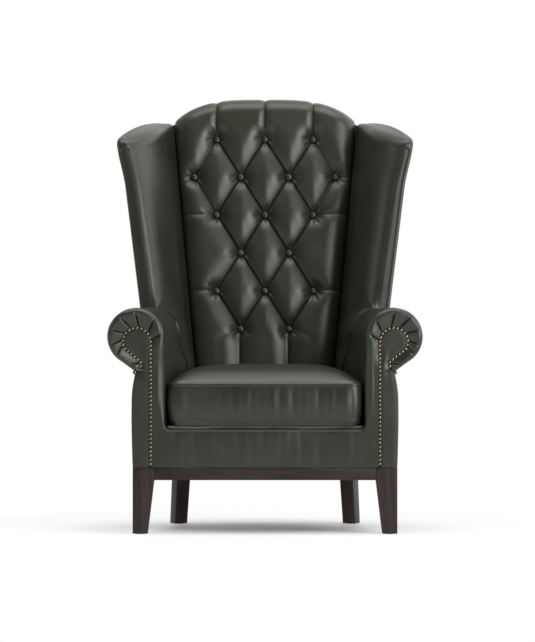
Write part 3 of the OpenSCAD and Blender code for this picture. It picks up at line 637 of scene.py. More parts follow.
@dataclass(frozen=True)
class LeatherFinish:
    """Semi-gloss upholstery hide."""

    name: str
    tint: Color = (0.0157, 0.0186, 0.0108, 1)
    # The dark colour is the painted shade in folds, pleats, button pockets and joints.
    dark: Color = (0.004, 0.0045, 0.004, 1)
    # The lighter colour gives random mottled patches and the painted sheen on the tufting's ridges.
    worn: Color = (0.0285, 0.0335, 0.0205, 1)
    roughness: float = 0.31
    grain: float = 480.0
    specular: float = 0.5

    def build(self) -> bpy.types.Material:
        """Builds the finish.

        Returns:
            The material.
        """
        material, sheet, shader = new_material(self.name)
        hide = sheet.group(hide_surface, Tint=self.tint, Dark=self.dark, Worn=self.worn,
                           Roughness=self.roughness, Grain=self.grain).outputs
        sheet.feed(shader, Base_Color=hide["Color"], Roughness=hide["Roughness"],
                   Normal=sheet.bump(0.16, 0.0006, hide["Height"]),
                   Specular_IOR_Level=self.specular)
        return material


@dataclass(frozen=True)
class TimberFinish:
    """Stained or bare timber with its grain along one axis."""

    name: str
    axis: GrainAxis
    tint: Color = (0.0165, 0.0094, 0.0072, 1)
    dark: Color = (0.005, 0.0035, 0.003, 1)
    light: Color = (0.034, 0.0215, 0.017, 1)
    specular: float = 0.29

    def build(self) -> bpy.types.Material:
        """Builds the finish.

        Returns:
            The material.
        """
        material, sheet, shader = new_material(self.name)
        turned = sheet.add("ShaderNodeMapping", Vector=sheet.place(), Scale=self.axis.value)
        grain = sheet.group(timber_surface, Vector=turned.outputs["Vector"], Tint=self.tint,
                            Dark=self.dark, Light=self.light).outputs
        sheet.feed(shader, Base_Color=grain["Color"], Roughness=grain["Roughness"],
                   Normal=sheet.bump(0.25, 0.0005, grain["Height"]),
                   Specular_IOR_Level=self.specular)
        return material


@dataclass(frozen=True)
class MetalFinish:
    """Bare metal, dark in random tarnished spots and along the fold mask, which on the nailheads is
    painted shade round the rim with some tarnish.
    """

    name: str
    tint: Color
    tarnish_and_shade: Color
    roughness: float

    def build(self) -> bpy.types.Material:
        """Builds the finish.

        Returns:
            The material.
        """
        material, sheet, shader = new_material(self.name)
        spots = sheet.cloud(sheet.place(), Scale=260.0, Detail=4.0, Roughness=0.6)
        spot = sheet.sum("MULTIPLY", sheet.ramp(spots, 0.45, 0.75), 0.5)
        # The fold mask adds painted shade round the nailheads' rims, partly tarnish.
        stain_and_shade = sheet.sum("ADD", spot, sheet.mask("fold"), clamp=True)
        sheet.feed(shader, Base_Color=sheet.mix(stain_and_shade, self.tint, self.tarnish_and_shade),
                   Roughness=sheet.sum("MULTIPLY_ADD", stain_and_shade, 0.25, self.roughness), Metallic=1.0)
        return material


@dataclass(frozen=True)
class ClothFinish:
    """Plain woven cloth or webbing."""

    name: str
    tint: Color
    dark: Color
    threads: float

    def build(self) -> bpy.types.Material:
        """Builds the finish.

        Returns:
            The material.
        """
        material, sheet, shader = new_material(self.name)
        weave = sheet.group(weave_surface, Tint=self.tint, Dark=self.dark,
                            Threads=self.threads).outputs
        sheet.feed(shader, Base_Color=weave["Color"],
                   Normal=sheet.bump(0.4, 0.0004, weave["Height"]), Roughness=0.9)
        return material


@dataclass(frozen=True)
class PlainFinish:
    """Moulded plastic or foam with a fine mottled surface."""

    name: str
    tint: Color
    dark: Color
    roughness: float

    def build(self) -> bpy.types.Material:
        """Builds the finish.

        Returns:
            The material.
        """
        material, sheet, shader = new_material(self.name)
        cells = sheet.cloud(sheet.place(), Scale=600.0, Detail=3.0)
        sheet.feed(shader, Base_Color=sheet.mix(sheet.ramp(cells, 0.4, 0.65), self.dark, self.tint),
                   Normal=sheet.bump(0.2, 0.0003, cells), Roughness=self.roughness)
        return material


class Finishes:
    """All the chair's finishes, built once."""

    def __init__(self) -> None:
        """Builds every material."""
        self.hide = LeatherFinish("grey_green_hide").build()
        self.button_hide = LeatherFinish("button_hide", roughness=0.3, grain=700.0).build()
        self.leg = TimberFinish("stained_timber_upright", GrainAxis.UPRIGHT).build()
        self.cross_rail = TimberFinish("stained_timber_cross", GrainAxis.ALONG_X).build()
        self.side_rail = TimberFinish("stained_timber_side", GrainAxis.ALONG_Y).build()
        others = {
            # The brass's dark second colour is tarnish, and painted shade round the nailheads'
            # rims.
            "nailhead_brass": MetalFinish("antique_brass", (0.27, 0.205, 0.135, 1),
                                          (0.008, 0.0055, 0.0035, 1), 0.24),
            "frame_wood": TimberFinish("bare_beech", GrainAxis.ALONG_X, (0.46, 0.32, 0.19, 1),
                                       (0.3, 0.19, 0.1, 1), (0.56, 0.42, 0.27, 1)),
            "steel": MetalFinish("plain_steel", (0.55, 0.55, 0.56, 1), (0.2, 0.19, 0.18, 1), 0.35),
            "linen": ClothFinish("jute_webbing", (0.32, 0.25, 0.15, 1),
                                 (0.14, 0.1, 0.05, 1), 160.0),
            "black_cloth": ClothFinish("black_lining", (0.025, 0.025, 0.025, 1),
                                       (0.008, 0.008, 0.008, 1), 300.0),
            "foam": PlainFinish("cushion_foam", (0.72, 0.67, 0.5, 1), (0.5, 0.46, 0.33, 1), 0.9),
            "glide": PlainFinish("black_nylon", (0.03, 0.03, 0.03, 1),
                                 (0.018, 0.018, 0.018, 1), 0.5)}
        self.by_slot = {slot: other.build() for slot, other in others.items()}
        self.by_slot |= {"leather": self.hide, "timber": self.leg}

    def upholster(self, piece: Piece, node: str, fill: float, angle: float,
                  body: str = FRAME_BODY) -> None:
        """Dresses a padded piece in the hide, as settle does."""
        settle(piece, self.hide, "leather", node, body=body, fill=fill, angle=angle)

    def dress_nodes(self) -> None:
        """Gives every node that still shows the finish of its own slot."""
        for part in frame["record"]["subparts"]:
            node = frame["nodes"][part["node"]]
            node.data.materials.clear()
            node.data.materials.append(self.by_slot[part["material_slot"]])


# Lines that the upholstery shares

@dataclass(frozen=True)
class ChairLines:
    """Lines of the frame that the upholstery follows, in metres and radians.

    A depth is measured back from the front of the arms. The back's own frame leans with it: v runs
    up along the back from the foot of the seat frame, and n runs to the rear, square to it.
    """

    front_y: float
    seat_z: float
    arm_h: float = 0.600
    deck_top: float = 0.2864
    seat_d: float = 0.512
    rake: float = math.radians(10)
    back_half: float = 0.170
    flare: float = math.tan(math.radians(5.17))
    back_h: float = 1.037
    back_pad: float = 0.085
    frame_n: float = 0.088
    outer_n: float = 0.1233
    outside_t: float = 0.010
    crown_drop: float = 0.061
    crown_roll: float = 0.045
    crown_power: float = 3.5
    draw_in: float = math.tan(math.radians(7.3))
    rear_x: float = 0.262
    rear_lean: float = math.tan(math.radians(4.6))

    def y_of(self, d: Array) -> Array:
        """Y at a depth."""
        return d + self.front_y

    def plane_d(self, n: Array, z: Array) -> Array:
        """Depth of a plane of the back at a height."""
        return self.seat_d + (n + (z - self.seat_z) * math.sin(self.rake)) / math.cos(self.rake)

    def up_back(self, d: Array, z: Array) -> Array:
        """Distance up the back at a depth and a height."""
        return (z - self.seat_z) * math.cos(self.rake) + (d - self.seat_d) * math.sin(self.rake)

    def up_at(self, n: Array, z: Array) -> Array:
        """Distance up the back at which a plane of the back reaches a height."""
        return (z - self.seat_z + n * math.sin(self.rake)) / math.cos(self.rake)

    def pad_half(self, v: Array) -> Array:
        """Half width of the inside back."""
        return self.back_half + self.flare * v

    def pad_half_at(self, d: Array, z: Array) -> Array:
        """Half width of the inside back at a depth and a height."""
        return self.pad_half(self.up_back(d, z))

    def rear_half(self, z: Array) -> Array:
        """Half width of the chair's rear corner at a height."""
        return self.rear_x + self.rear_lean * (z - self.arm_h)

    def crown_fall(self, x: Array, half: float) -> Array:
        """Drop of the crown away from the middle."""
        return self.crown_drop * np.minimum(1, np.abs(x) / half) ** self.crown_power

    @property
    def crown_half(self) -> float:
        """Half width of the crown where its drop ends."""
        return float(self.pad_half(np.array(self.back_h - self.crown_drop - self.crown_roll)))

    @property
    def crest_top(self) -> float:
        """Top of the crest rail, up the back."""
        return self.back_h - self.crown_drop - 1.5 * self.crown_roll

    @property
    def normal(self) -> Array:
        """Unit vector square to the back, towards the sitter."""
        return np.array([0, -math.cos(self.rake), math.sin(self.rake)])

    def world(self, x: Array, v: Array, n: Array) -> Array:
        """Turns places of the back's own frame into points of the chair.

        Args:
            x: places across.
            v: places up the back.
            n: places towards the rear.

        Returns:
            The points, in rows of three.
        """
        x, v, n = np.broadcast_arrays(x, v, n)
        y = self.y_of(self.seat_d + math.sin(self.rake) * v + math.cos(self.rake) * n)
        z = self.seat_z + math.cos(self.rake) * v - math.sin(self.rake) * n
        return np.stack([x, y, z], axis=-1)


def pleat_profile(t: Array) -> Array:
    """Depth of a pleat at a share of its width: a sharp valley with puffed sides."""
    t = np.clip(t, 0, 1)
    return 0.5 * (1 - np.sin(t * math.pi / 2)) + 0.5 * (1 - np.sqrt(1 - (1 - t) ** 2))


@dataclass(frozen=True)
class Pleat:
    """A pleat between two places of the back, with its depth and width at each end."""

    start: tuple[float, float]
    end: tuple[float, float]
    depths: tuple[float, float]
    widths: tuple[float, float]

    def reach(self, x: Array, v: Array) -> tuple[Array, Array, Array]:
        """Where points lie beside the pleat.

        Args:
            x: places across the back.
            v: places up the back.

        Returns:
            The share of the way along it, the distance from it, and the signed distance.
        """
        ax, av = self.start
        bx, bv = self.end[0] - ax, self.end[1] - av
        share = np.clip(((x - ax) * bx + (v - av) * bv) / (bx * bx + bv * bv), 0, 1)
        away = np.hypot(x - ax - share * bx, v - av - share * bv)
        signed = ((x - ax) * bv - (v - av) * bx) / math.hypot(bx, bv)
        return share, away, signed


@dataclass
class TuftedBack:
    """The inside back: leather drawn into diamonds by buttons, and rolled over the crest."""

    lines: ChairLines
    finishes: Finishes
    diamond_w: float = 0.135
    row_h: float = 0.108
    lowest_row: float = 0.376
    button_depth: float = 0.030
    pleat_depth: float = 0.019
    puff: float = 0.057
    blend: float = 3.0
    crease_w: float = 0.0022
    lap_h: float = 0.0022
    lap_at: float = 0.0042
    lap_w: float = 0.0026
    pocket_r: float = 0.021
    pucker_h: float = 0.0011
    pucker_at: float = 0.017
    pucker_w: float = 0.011
    pocket_shade_r: float = 0.012
    edge_w: float = 0.060
    edge_fall: float = 0.036
    joint_w: float = 0.006
    ripple_h: float = 0.0009
    button_r: float = 0.009
    button_sunk: float = 0.0065
    cells: int = 30
    edge_cells: int = 16
    foot_cells: int = 48
    crown_cells: int = 17
    roll_cells: int = 34
    columns: tuple[tuple[int, ...], ...] = (
        (-1, 1), (-2, 0, 2), (-1, 1), (-2, 0, 2), (-3, -1, 1, 3), (-2, 0, 2))

    def outer_x(self, v: Array) -> Array:
        """Half width at which the third column of buttons stands."""
        inner = 2.25 * self.diamond_w / 2
        return inner + 0.5 * (self.lines.pad_half(v) - inner)

    def column_x(self, c: Array, v: Array) -> Array:
        """Place across the back of a column of buttons.

        Args:
            c: columns from the middle, in half diamonds, with 4 at the edge.
            v: places up the back.

        Returns:
            The place of each column.
        """
        size, half_w = np.abs(c), self.diamond_w / 2
        third, edge = self.outer_x(v), self.lines.pad_half(v)
        wide = np.where(size <= 2, size * half_w,
                        np.where(size <= 3, 2 * half_w + (size - 2) * (third - 2 * half_w),
                                 third + (size - 3) * (edge - third)))
        return np.sign(c) * wide

    def row_v(self, row: float) -> float:
        """Place up the back of a row of buttons."""
        return self.lowest_row + row * self.row_h

    def spot(self, column: int, row: int) -> tuple[float, float]:
        """Place on the back of a column on a row."""
        v = self.row_v(row)
        return float(self.column_x(np.array(column), np.array(v))), v

    def button_places(self) -> list[tuple[float, float]]:
        """Places of the buttons on the back."""
        return [self.spot(c, r) for r, row in enumerate(self.columns) for c in row]

    def pleats(self) -> list[Pleat]:
        """Lays out the pleats.

        Returns:
            Diagonals, uprights at the ends, and level and drooping ones at the sides.
        """
        deep, puff, last = self.pleat_depth, self.puff, len(self.columns) - 1
        found = [Pleat(self.spot(c, r), self.spot(e, r + 1), (deep, deep), (puff, puff))
                 for r in range(last) for c in self.columns[r] for e in self.columns[r + 1]
                 if abs(c - e) == 1]
        for c in self.columns[0]:
            x, v = self.spot(c, 0)
            found.append(Pleat((x, v), (x, 0.0), (deep, 0.008), (0.054, 0.034)))
        for c in self.columns[last]:
            x, v = self.spot(c, last)
            found.append(Pleat((x, v), (x, self.lines.back_h), (0.012, 0.0045), (0.032, 0.012)))
        for r in (1, 3, 4):
            for sign in (-1, 1):
                x, v = self.spot(sign * max(self.columns[r]), r)
                edge = sign * float(self.lines.pad_half(np.array(v)))
                found.append(Pleat((x, v), (edge, v), (0.012, 0.004), (0.04, 0.02)))
        for sign in (-1, 1):
            for r in (0, 2):
                x, v = self.spot(sign, r)
                edge = sign * float(self.lines.pad_half(np.array(v)))
                end = (x + 0.55 * (edge - x), v - 0.3 * self.row_h)
                found.append(Pleat((x, v), end, (0.008, 0.0), (0.04, 0.02)))
        return found

    def broad_depth(self, x: Array, v: Array) -> Array:
        """How far the pad's rolled edges fall back."""
        beside = self.lines.pad_half(v) - np.abs(x)
        t = np.clip(1 - beside / self.edge_w, 0, 1)
        return self.edge_fall * (1 - np.sqrt(1 - t * t))

    def detail(self, x: Array, v: Array) -> tuple[Array, Array]:
        """The tufting's own relief.

        Args:
            x: places across the back.
            v: places up the back.

        Returns:
            The depth below the highest leather, and a mask of painted shade in the pleats and
            button pockets.
        """
        depth = np.zeros(np.broadcast(x, v).shape)
        fold = np.zeros_like(depth)
        lap = np.zeros_like(depth)
        for pleat in self.pleats():
            share, away, signed = pleat.reach(x, v)
            deep = pleat.depths[0] + share * (pleat.depths[1] - pleat.depths[0])
            wide = pleat.widths[0] + share * (pleat.widths[1] - pleat.widths[0])
            depth = depth + (deep * pleat_profile(away / wide)) ** self.blend
            # Painted shade along each pleat's crease.
            fold = np.maximum(fold, deep / self.pleat_depth * np.exp(-(away / self.crease_w) ** 2))
            near_end = 0.35 + 0.65 * np.abs(2 * share - 1) ** 1.5
            lip = np.exp(-((signed - self.lap_at) / self.lap_w) ** 2)
            lip = lip * np.exp(-(away / (3 * self.lap_at)) ** 4)
            lap = np.maximum(lap, self.lap_h * near_end * deep / self.pleat_depth * lip)
        depth = depth ** (1 / self.blend)
        for number, (bx, bv) in enumerate(self.button_places()):
            r = np.hypot(x - bx, v - bv)
            angle = np.arctan2(v - bv, x - bx)
            pocket = np.exp(-(r / self.pocket_r) ** 1.7)
            depth = depth + (self.button_depth - self.pleat_depth) * pocket
            pucker = np.cos(9 * angle + number + 1.2 * np.sin(2 * angle + number))
            near = np.exp(-((r - self.pucker_at) / self.pucker_w) ** 2)
            depth = depth + self.pucker_h * pucker * near
            # Painted shade in each button pocket.
            fold = np.maximum(fold, np.exp(-(r / self.pocket_shade_r) ** 4))
        return np.minimum(self.button_depth, depth) - lap, np.minimum(1, fold)

    def build(self) -> None:
        """Builds the pad and its buttons."""
        lines = self.lines
        inner = np.linspace(-3, 3, 6 * self.cells + 1)
        edge = np.linspace(3, 4, self.edge_cells + 1)[1:]
        c = np.concatenate([-edge[::-1], inner, edge])
        foot_z = lines.deck_top + SEAM_GAP
        low, first, last = float(lines.up_at(0, foot_z)), self.row_v(-1), self.row_v(5)
        cap, outer_n = lines.crest_top, lines.outer_n - SEAM_GAP

        def face(x: Array, v: Array, level: float) -> tuple[Array, ...]:
            """A row of the face, whose rolled edges are those at a level."""
            up = np.full_like(x, v)
            return x, up, self.broad_depth(x, level) + self.detail(x, up)[0]

        rows = []
        for v in np.linspace(low, first, self.foot_cells, endpoint=False):
            x, _, n = face(self.column_x(c, v), v, v)
            deck_v = lines.up_at(n, foot_z)
            rows.append((x, deck_v + (v - low) / (first - low) * (first - deck_v), n))
        for v in np.linspace(first, last, 6 * self.cells + 1):
            rows.append(face(self.column_x(c, min(v, cap)), v, min(v, cap)))
        x = self.column_x(c, cap)
        start = lines.back_h - lines.crown_roll - lines.crown_fall(x, lines.crown_half)
        for share in np.linspace(0, 1, self.crown_cells + 1)[1:]:
            rows.append(face(x, last + share * (start - last), cap))
        relief, base = self.detail(x, start)[0], self.broad_depth(x, cap)
        for a in np.linspace(0, math.pi, self.roll_cells)[1:]:
            kept = relief * (1 - 0.6 * ease(0, 2.2, np.array(a)))
            turned = (outer_n - base) / 2 * (1 - math.cos(a))
            rows.append((x, start + (lines.crown_roll - kept) * math.sin(a),
                         base + kept * max(0, math.cos(a)) + turned))
        rows.append((x, np.full_like(x, cap + SEAM_GAP), np.full_like(x, outer_n)))
        rear_v = float(lines.up_at(lines.back_pad, foot_z))
        for v in np.linspace(cap + SEAM_GAP, rear_v, 5):
            rows.append((self.column_x(c, v), np.full_like(x, v), np.full_like(x, lines.back_pad)))
        grid = np.stack([lines.world(x, v, n) for x, v, n in rows])
        wave = self.ripple_h * ripple(grid, (14, 14, 11), 3.7)
        self.make_pad(grid - lines.normal * wave[..., None], c)
        self.make_buttons()

    def make_pad(self, grid: Array, c: Array) -> None:
        """Joins the rows into a closed pad whose mesh diagonals follow the pleats.

        Args:
            grid: points by row and by column.
            c: the columns, in half diamonds.
        """
        rows, cols = grid.shape[:2]
        faces: Faces = []
        for j in range(rows):
            up = (j + 1) % rows
            row = math.floor((j - self.foot_cells + 0.5) / self.cells) - 1
            for i in range(cols - 1):
                a, b, top, tip = j * cols + i, j * cols + i + 1, up * cols + i + 1, up * cols + i
                if (math.floor((c[i] + c[i + 1]) / 2) + row) % 2:
                    faces += [(a, b, top), (a, top, tip)]
                else:
                    faces += [(a, b, tip), (b, top, tip)]
        faces.append(tuple(j * cols for j in range(rows)))
        faces.append(tuple(j * cols + cols - 1 for j in range(rows - 1, -1, -1)))
        piece = make_mesh("inside_back_leather", grid, faces)
        lines = self.lines

        def on_back(places: Array) -> tuple[Array, Array, Array]:
            """Places in the back's own frame."""
            d = places[:, 1] - lines.front_y - lines.seat_d
            z = places[:, 2] - lines.seat_z
            return (places[:, 0], math.cos(lines.rake) * z + math.sin(lines.rake) * d,
                    math.cos(lines.rake) * d - math.sin(lines.rake) * z)

        def folds(places: Array) -> Array:
            """The mask of painted shade in the folds, with painted shade at the side joints too."""
            x, v, _ = on_back(places)
            beside = lines.pad_half(np.minimum(v, lines.crest_top)) - np.abs(x)
            # Painted shade at the side joints, where the back meets the wings.
            joint = 0.9 * np.exp(-np.maximum(beside, 0) / self.joint_w)
            return np.maximum(self.detail(x, v)[1], joint)

        set_mask(piece, "fold", folds)
        # Painted sheen: the ridge mask lightens the highest leather of the tufting.
        set_mask(piece, "ridge", lambda places: 1 - ease(0.0, 0.007, on_back(places)[2]))
        self.finishes.upholster(piece, "inside_back", fill=0.8, angle=75)

    def make_buttons(self) -> None:
        """Models one covered button and sets a copy into each pocket."""
        first = start_ball(self.button_r, 28, 14)
        bpy.ops.transform.resize(value=(1, 1, 0.55))
        pick(first, lambda co: co.z < -0.1 * self.button_r)
        bpy.ops.transform.resize(value=(0.8, 0.8, 1))
        places, faces = take_shape(first)
        angle, size = np.arctan2(places[:, 1], places[:, 0]), np.hypot(places[:, 0], places[:, 1])
        creased = 1 + 0.05 * np.cos(11 * angle) * ease(0.6, 1, size / self.button_r)
        n = self.button_depth - self.button_sunk - places[:, 2]
        shapes = []
        for number, (bx, bv) in enumerate(self.button_places()):
            cos, sin = math.cos(0.7 * number), math.sin(0.7 * number)
            x = (places[:, 0] * cos - places[:, 1] * sin) * creased
            v = (places[:, 0] * sin + places[:, 1] * cos) * creased
            shapes.append(self.lines.world(bx + x, bv + v, n))
        piece = make_copies("covered_back_buttons", shapes, faces)
        settle(piece, self.finishes.button_hide, "leather", "back_buttons", fill=1.0, angle=60)


@dataclass
class ScrollArm:
    """One arm: a rolled cover, gathered in pleats round a facing with a row of nailheads."""

    lines: ChairLines
    finishes: Finishes
    side: Side
    arm_in: float = 0.267
    arm_out: float = 0.351
    scroll_r: float = 0.0765
    post_in: float = 0.304
    loop_r: float = 0.037
    loop_drop: float = 0.014
    neck_r: float = 0.012
    neck_drop: float = 0.073
    neck_foot: float = 0.094
    front_edge: float = 0.017
    ring_dip: float = 0.0100
    ring_rise: float = 0.0060
    pleat_depth: float = 0.0062
    start_d: float = 0.014
    bead_h: float = 0.0011
    bead_at: float = 0.001
    bead_w: float = 0.0028
    ripple_h: float = 0.0012
    crinkle_h: float = 0.0016
    spare: float = 0.033
    spare_z: tuple[float, float] = (0.44, 0.51)
    facing_t: float = 0.0085
    facing_puff: float = 0.0012
    facing_edge_r: float = 0.0014
    panel_start: float = 0.0088
    panel_t: float = 0.0075
    panel_puff: float = 0.0035
    panel_edge_r: float = 0.004
    panel_ripple_h: float = 0.0008
    rear_over: float = 0.0015
    nail_count: int = 50
    nail_start: float = 0.010
    nail_r: float = 0.0051
    nail_h: float = 0.0034
    nail_sunk: float = 0.0004
    pleat_angles: tuple[float, ...] = (-74, -46, -20, 14, 50, 87, 134, 170)

    @property
    def scroll_x(self) -> float:
        """Half width of the scroll's centre at the front."""
        return self.arm_in + self.scroll_r

    @property
    def scroll_z(self) -> float:
        """Height of the scroll's centre."""
        return self.lines.arm_h - self.scroll_r

    @property
    def foot_z(self) -> float:
        """Height of the neck's foot."""
        return self.scroll_z - self.neck_foot

    @property
    def foot_x(self) -> float:
        """Half width of the outer side at the neck's foot."""
        return float(self.outer_x(np.array(self.foot_z)))

    def outline(self, straight: int = 44, around: int = 190, neck: int = 10) -> Array:
        """The cover's section at the front, from the inner foot over the scroll to the neck.

        Args:
            straight: points up the inner side.
            around: points round the scroll.
            neck: points down to the neck's foot.

        Returns:
            Half width and height of each point.
        """
        over = arc((self.scroll_x, self.scroll_z), self.scroll_r, 180, -60, around)
        end = np.array([self.foot_x + SEAM_GAP, self.foot_z + SEAM_GAP])
        down = over[-1] + np.linspace(0, 1, neck + 1)[1:, None] * (end - over[-1])
        up = upright(self.arm_in, self.lines.seat_z + SEAM_GAP, self.scroll_z, straight)
        return np.concatenate([up, over, down])

    def facing_edge(self, grow: float, straight: int = 44, around: int = 190,
                    neck: int = 10) -> Array:
        """The facing's edge, with as many points as the cover's section.

        Args:
            grow: how far the edge stands outside the facing.
            straight: points up the inner side.
            around: points round the scroll.
            neck: points in the hollow of the neck.

        Returns:
            Half width and height of each point.
        """
        loop = (self.post_in + self.loop_r, self.scroll_z - self.loop_drop)
        hollow = (loop[0] + SEAM_GAP, self.scroll_z - self.neck_drop)
        return np.concatenate([
            upright(self.post_in - grow, self.lines.seat_z + SEAM_GAP, loop[1], straight),
            arc(loop, self.loop_r + grow, 180, -30, around),
            arc(hollow, self.neck_r - grow, 130, 230, neck)])

    def drawn_in(self, x: Array, d: Array, z: Array) -> Array:
        """Half width of the cover at a depth, drawn in and kept clear of the inside back."""
        near = np.clip((self.scroll_x - x) / self.scroll_r, 0, 1)
        moved = x - self.lines.draw_in * d + self.spare * d * ease(*self.spare_z, z) * near
        return np.maximum(moved, self.lines.pad_half_at(d, z) + SEAM_GAP)

    def place(self, section: Array, d: Array) -> Array:
        """Points of the cover's section at depths."""
        x, z = section[:, 0], section[:, 1]
        return np.stack([self.drawn_in(x, d, z), self.lines.y_of(d), z], axis=-1)

    def outer_x(self, z: Array) -> Array:
        """Half width of the outer side at the front, drawn in at the neck and swelling below."""
        foot, seat = self.foot_z, self.lines.seat_z
        marks = (seat, seat + 0.3 * (foot - seat), seat + 0.57 * (foot - seat), foot - 0.045, foot)
        return self.arm_out + flow(z, marks, (0.0, 0.0022, 0.003, 0.0008, -0.007))

    def inner_x(self, d: Array, z: Array) -> Array:
        """Half width of the cover's inner side at a depth and a height; far out above the arm."""
        lift = np.clip((z - self.scroll_z) / self.scroll_r, 0, 1)
        x = self.scroll_x - self.scroll_r * np.sqrt(1 - lift ** 2)
        return np.where(z > self.lines.arm_h, FAR_OUT, self.drawn_in(x, d, z))

    def edge_radius(self, z: Array) -> Array:
        """Radius of the inner front edge, which runs out where the arm meets the front border."""
        return 0.0005 + (self.front_edge - 0.0005) * ease(0.262, 0.385, z) ** 0.8

    def facing_d(self, x: Array, z: Array) -> Array:
        """Depth of the facing's front, which lies lower inside the scroll."""
        loop = ease(self.scroll_z - 0.085, self.scroll_z - 0.02, z)
        neck = ease(0.312, 0.330, x) * ease(self.foot_z - 0.03, self.foot_z + 0.012, z)
        return 0.0012 + 0.0026 * np.maximum(loop, neck)

    def pleat_relief(self, angles: Array) -> tuple[Array, Array]:
        """Relief of the gathered leather at angles round the scroll, in degrees.

        Args:
            angles: angles of the points.

        Returns:
            The depth as a share of the deepest, and how near a fold is.
        """
        marks = np.array(self.pleat_angles)
        ends = np.concatenate([[marks[0] - 30], marks, [marks[-1] + 34]])
        index = np.clip(np.searchsorted(ends, angles, side="right") - 1, 0, len(ends) - 2)
        share = np.clip((angles - ends[index]) / (ends[index + 1] - ends[index]), 0, 1)
        near = np.exp(-(np.min(np.abs(angles[:, None] - marks), axis=1) / 1.8) ** 2)
        return 0.85 * (1 - share) ** 1.6 - 0.22 * np.sin(math.pi * share) + 0.3 * near, near

    def make_cover(self) -> None:
        """Builds the cover from the facing's edge over the scroll to the back."""
        outer, inner = self.outline(), self.facing_edge(0.0008)
        post_x = self.post_in - SEAM_GAP
        closing = np.array([[post_x, self.foot_z], [post_x, self.lines.seat_z]])
        rear_n = self.lines.outer_n + self.rear_over
        angles = np.degrees(np.arctan2(outer[:, 1] - self.scroll_z, outer[:, 0] - self.scroll_x))
        angles = np.where(angles < -90, angles + 360, angles)
        straight = outer[:, 0] < self.arm_in + 0.001
        gathered = np.where(outer[:, 0] > self.scroll_x, 1,
                            ease(self.scroll_z - 0.085, self.scroll_z - 0.02, outer[:, 1]))
        relief, near = self.pleat_relief(angles)
        radius = np.where(straight, self.edge_radius(outer[:, 1]), self.front_edge)
        width = np.linalg.norm(outer - inner, axis=1)
        rings, folds = [], []

        def add(section: Array, d: Array, fold: Array, share: float = 0) -> None:
            """Adds one ring, closed through points behind the facing that are as far along."""
            first = self.front_edge if share else float(np.median(d))
            last = self.lines.plane_d(rear_n, closing[:, 1])
            ends = self.place(closing, first + share * (last - first))
            rings.append(np.concatenate([ends, self.place(section, d)]))
            folds.append(np.concatenate([[0, 0], fold]))

        # The ring at the facing's edge gets full painted shade through the fold mask.
        add(inner, np.full(len(inner), self.start_d), np.ones(len(inner)))
        for s in np.linspace(1, 0, 34):
            past = s * width - radius
            bead = self.bead_h * np.exp(-((past - self.bead_at) / self.bead_w) ** 2) * straight
            bead = bead * ease(0.012, 0.017, radius)
            tuck = gathered * ease(0.10, 0.5, s) * (1 - 0.5 * ease(0.75, 1, s))
            hollow = gathered * (self.ring_dip * s ** 1.9 - self.ring_rise)
            d = rounded_edge(s * width, radius) + hollow + tuck * self.pleat_depth * relief - bead
            # The fold value paints shade at the gathered pleats and where the cover tucks in beside
            # the facing.
            add(outer + s * (inner - outer), d, np.maximum(0.9 * tuck * near, ease(0.93, 1, s)))
        end = self.lines.plane_d(rear_n, outer[:, 1])
        for share in np.linspace(0, 1, 52)[1:] ** 1.35:
            add(outer, radius + share * (end - radius), 0 * near, float(share))
        grid = np.array(rings)
        grid[..., 0] *= self.side.value
        middle = np.array([self.side.value * (self.scroll_x - 0.01), 0, self.scroll_z - 0.1])
        out = grid - middle
        out[..., 1] = 0
        out /= np.linalg.norm(out, axis=-1, keepdims=True) + 1e-9
        depth = grid[..., 1] - self.lines.front_y
        upper = ease(self.scroll_z - 0.12, self.scroll_z - 0.02, grid[..., 2])
        wobble = self.ripple_h * ripple(grid, (13, 7, 13), 1.3 + self.side.value)
        crinkle = self.crinkle_h * (1 - ease(0.025, 0.10, depth)) * upper
        wobble += crinkle * ripple(grid, (60, 22, 50), 5.1)
        grid = grid + out * (wobble * ease(0.004, 0.02, depth))[..., None]
        piece = ring_shell(f"{self.side.word}_arm_leather", grid)
        store_folds(piece, grid, np.array(folds))
        self.finishes.upholster(piece, f"{self.side.word}_arm_cover", fill=0.9, angle=70)

    def make_facing(self) -> None:
        """Builds the facing as a thin padded panel that lies lower inside the scroll."""
        edge = self.facing_edge(-0.0004, 24, 120, 16)
        top = int(np.argmax(edge[:, 1]))
        seat, peak = self.lines.seat_z + SEAM_GAP, float(edge[top, 1])
        z = np.concatenate([np.linspace(seat, self.foot_z, 50, endpoint=False),
                            np.linspace(self.foot_z, peak - 0.003, 60, endpoint=False),
                            peak - 0.003 * np.linspace(1, 0, 10) ** 2])
        left = np.interp(z, edge[:top + 1, 1], edge[:top + 1, 0])
        outside = np.concatenate([[[self.foot_x, self.foot_z]], edge[:top - 1:-1]])
        right = np.interp(z, outside[:, 1], outside[:, 0])
        right = np.where(z <= self.foot_z, self.outer_x(z), right)
        u = np.linspace(0, 1, 30)[None, :]
        x = left[:, None] + u * (right - left)[:, None]
        height = np.broadcast_to(z[:, None], x.shape)
        beside = np.minimum(u, 1 - u) * (right - left)[:, None]
        puff = self.facing_puff * ease(0.0, 0.014, beside)
        puff -= rounded_edge(beside, self.facing_edge_r)
        front = self.facing_d(x, height) - puff
        outer = np.stack([x, self.lines.y_of(front), height], -1)
        inner = np.stack([x, self.lines.y_of(np.full_like(x, self.facing_t)), height], -1)
        piece = side_shell(self.side, "facing_leather", outer, inner)
        self.finishes.upholster(piece, f"{self.side.word}_arm_facing", fill=0.9, angle=50)

    def nail_places(self) -> Array:
        """Places of the nailheads, at even steps along the facing's edge.

        Returns:
            Half width and height of each place.
        """
        edge = self.facing_edge(0.0, 2, 40, 10)
        start = [self.post_in, self.lines.seat_z + self.nail_start]
        end = [self.foot_x + 0.002, self.foot_z - 0.001]
        return even_steps(np.concatenate([[start], edge[1:], [end]]), self.nail_count)

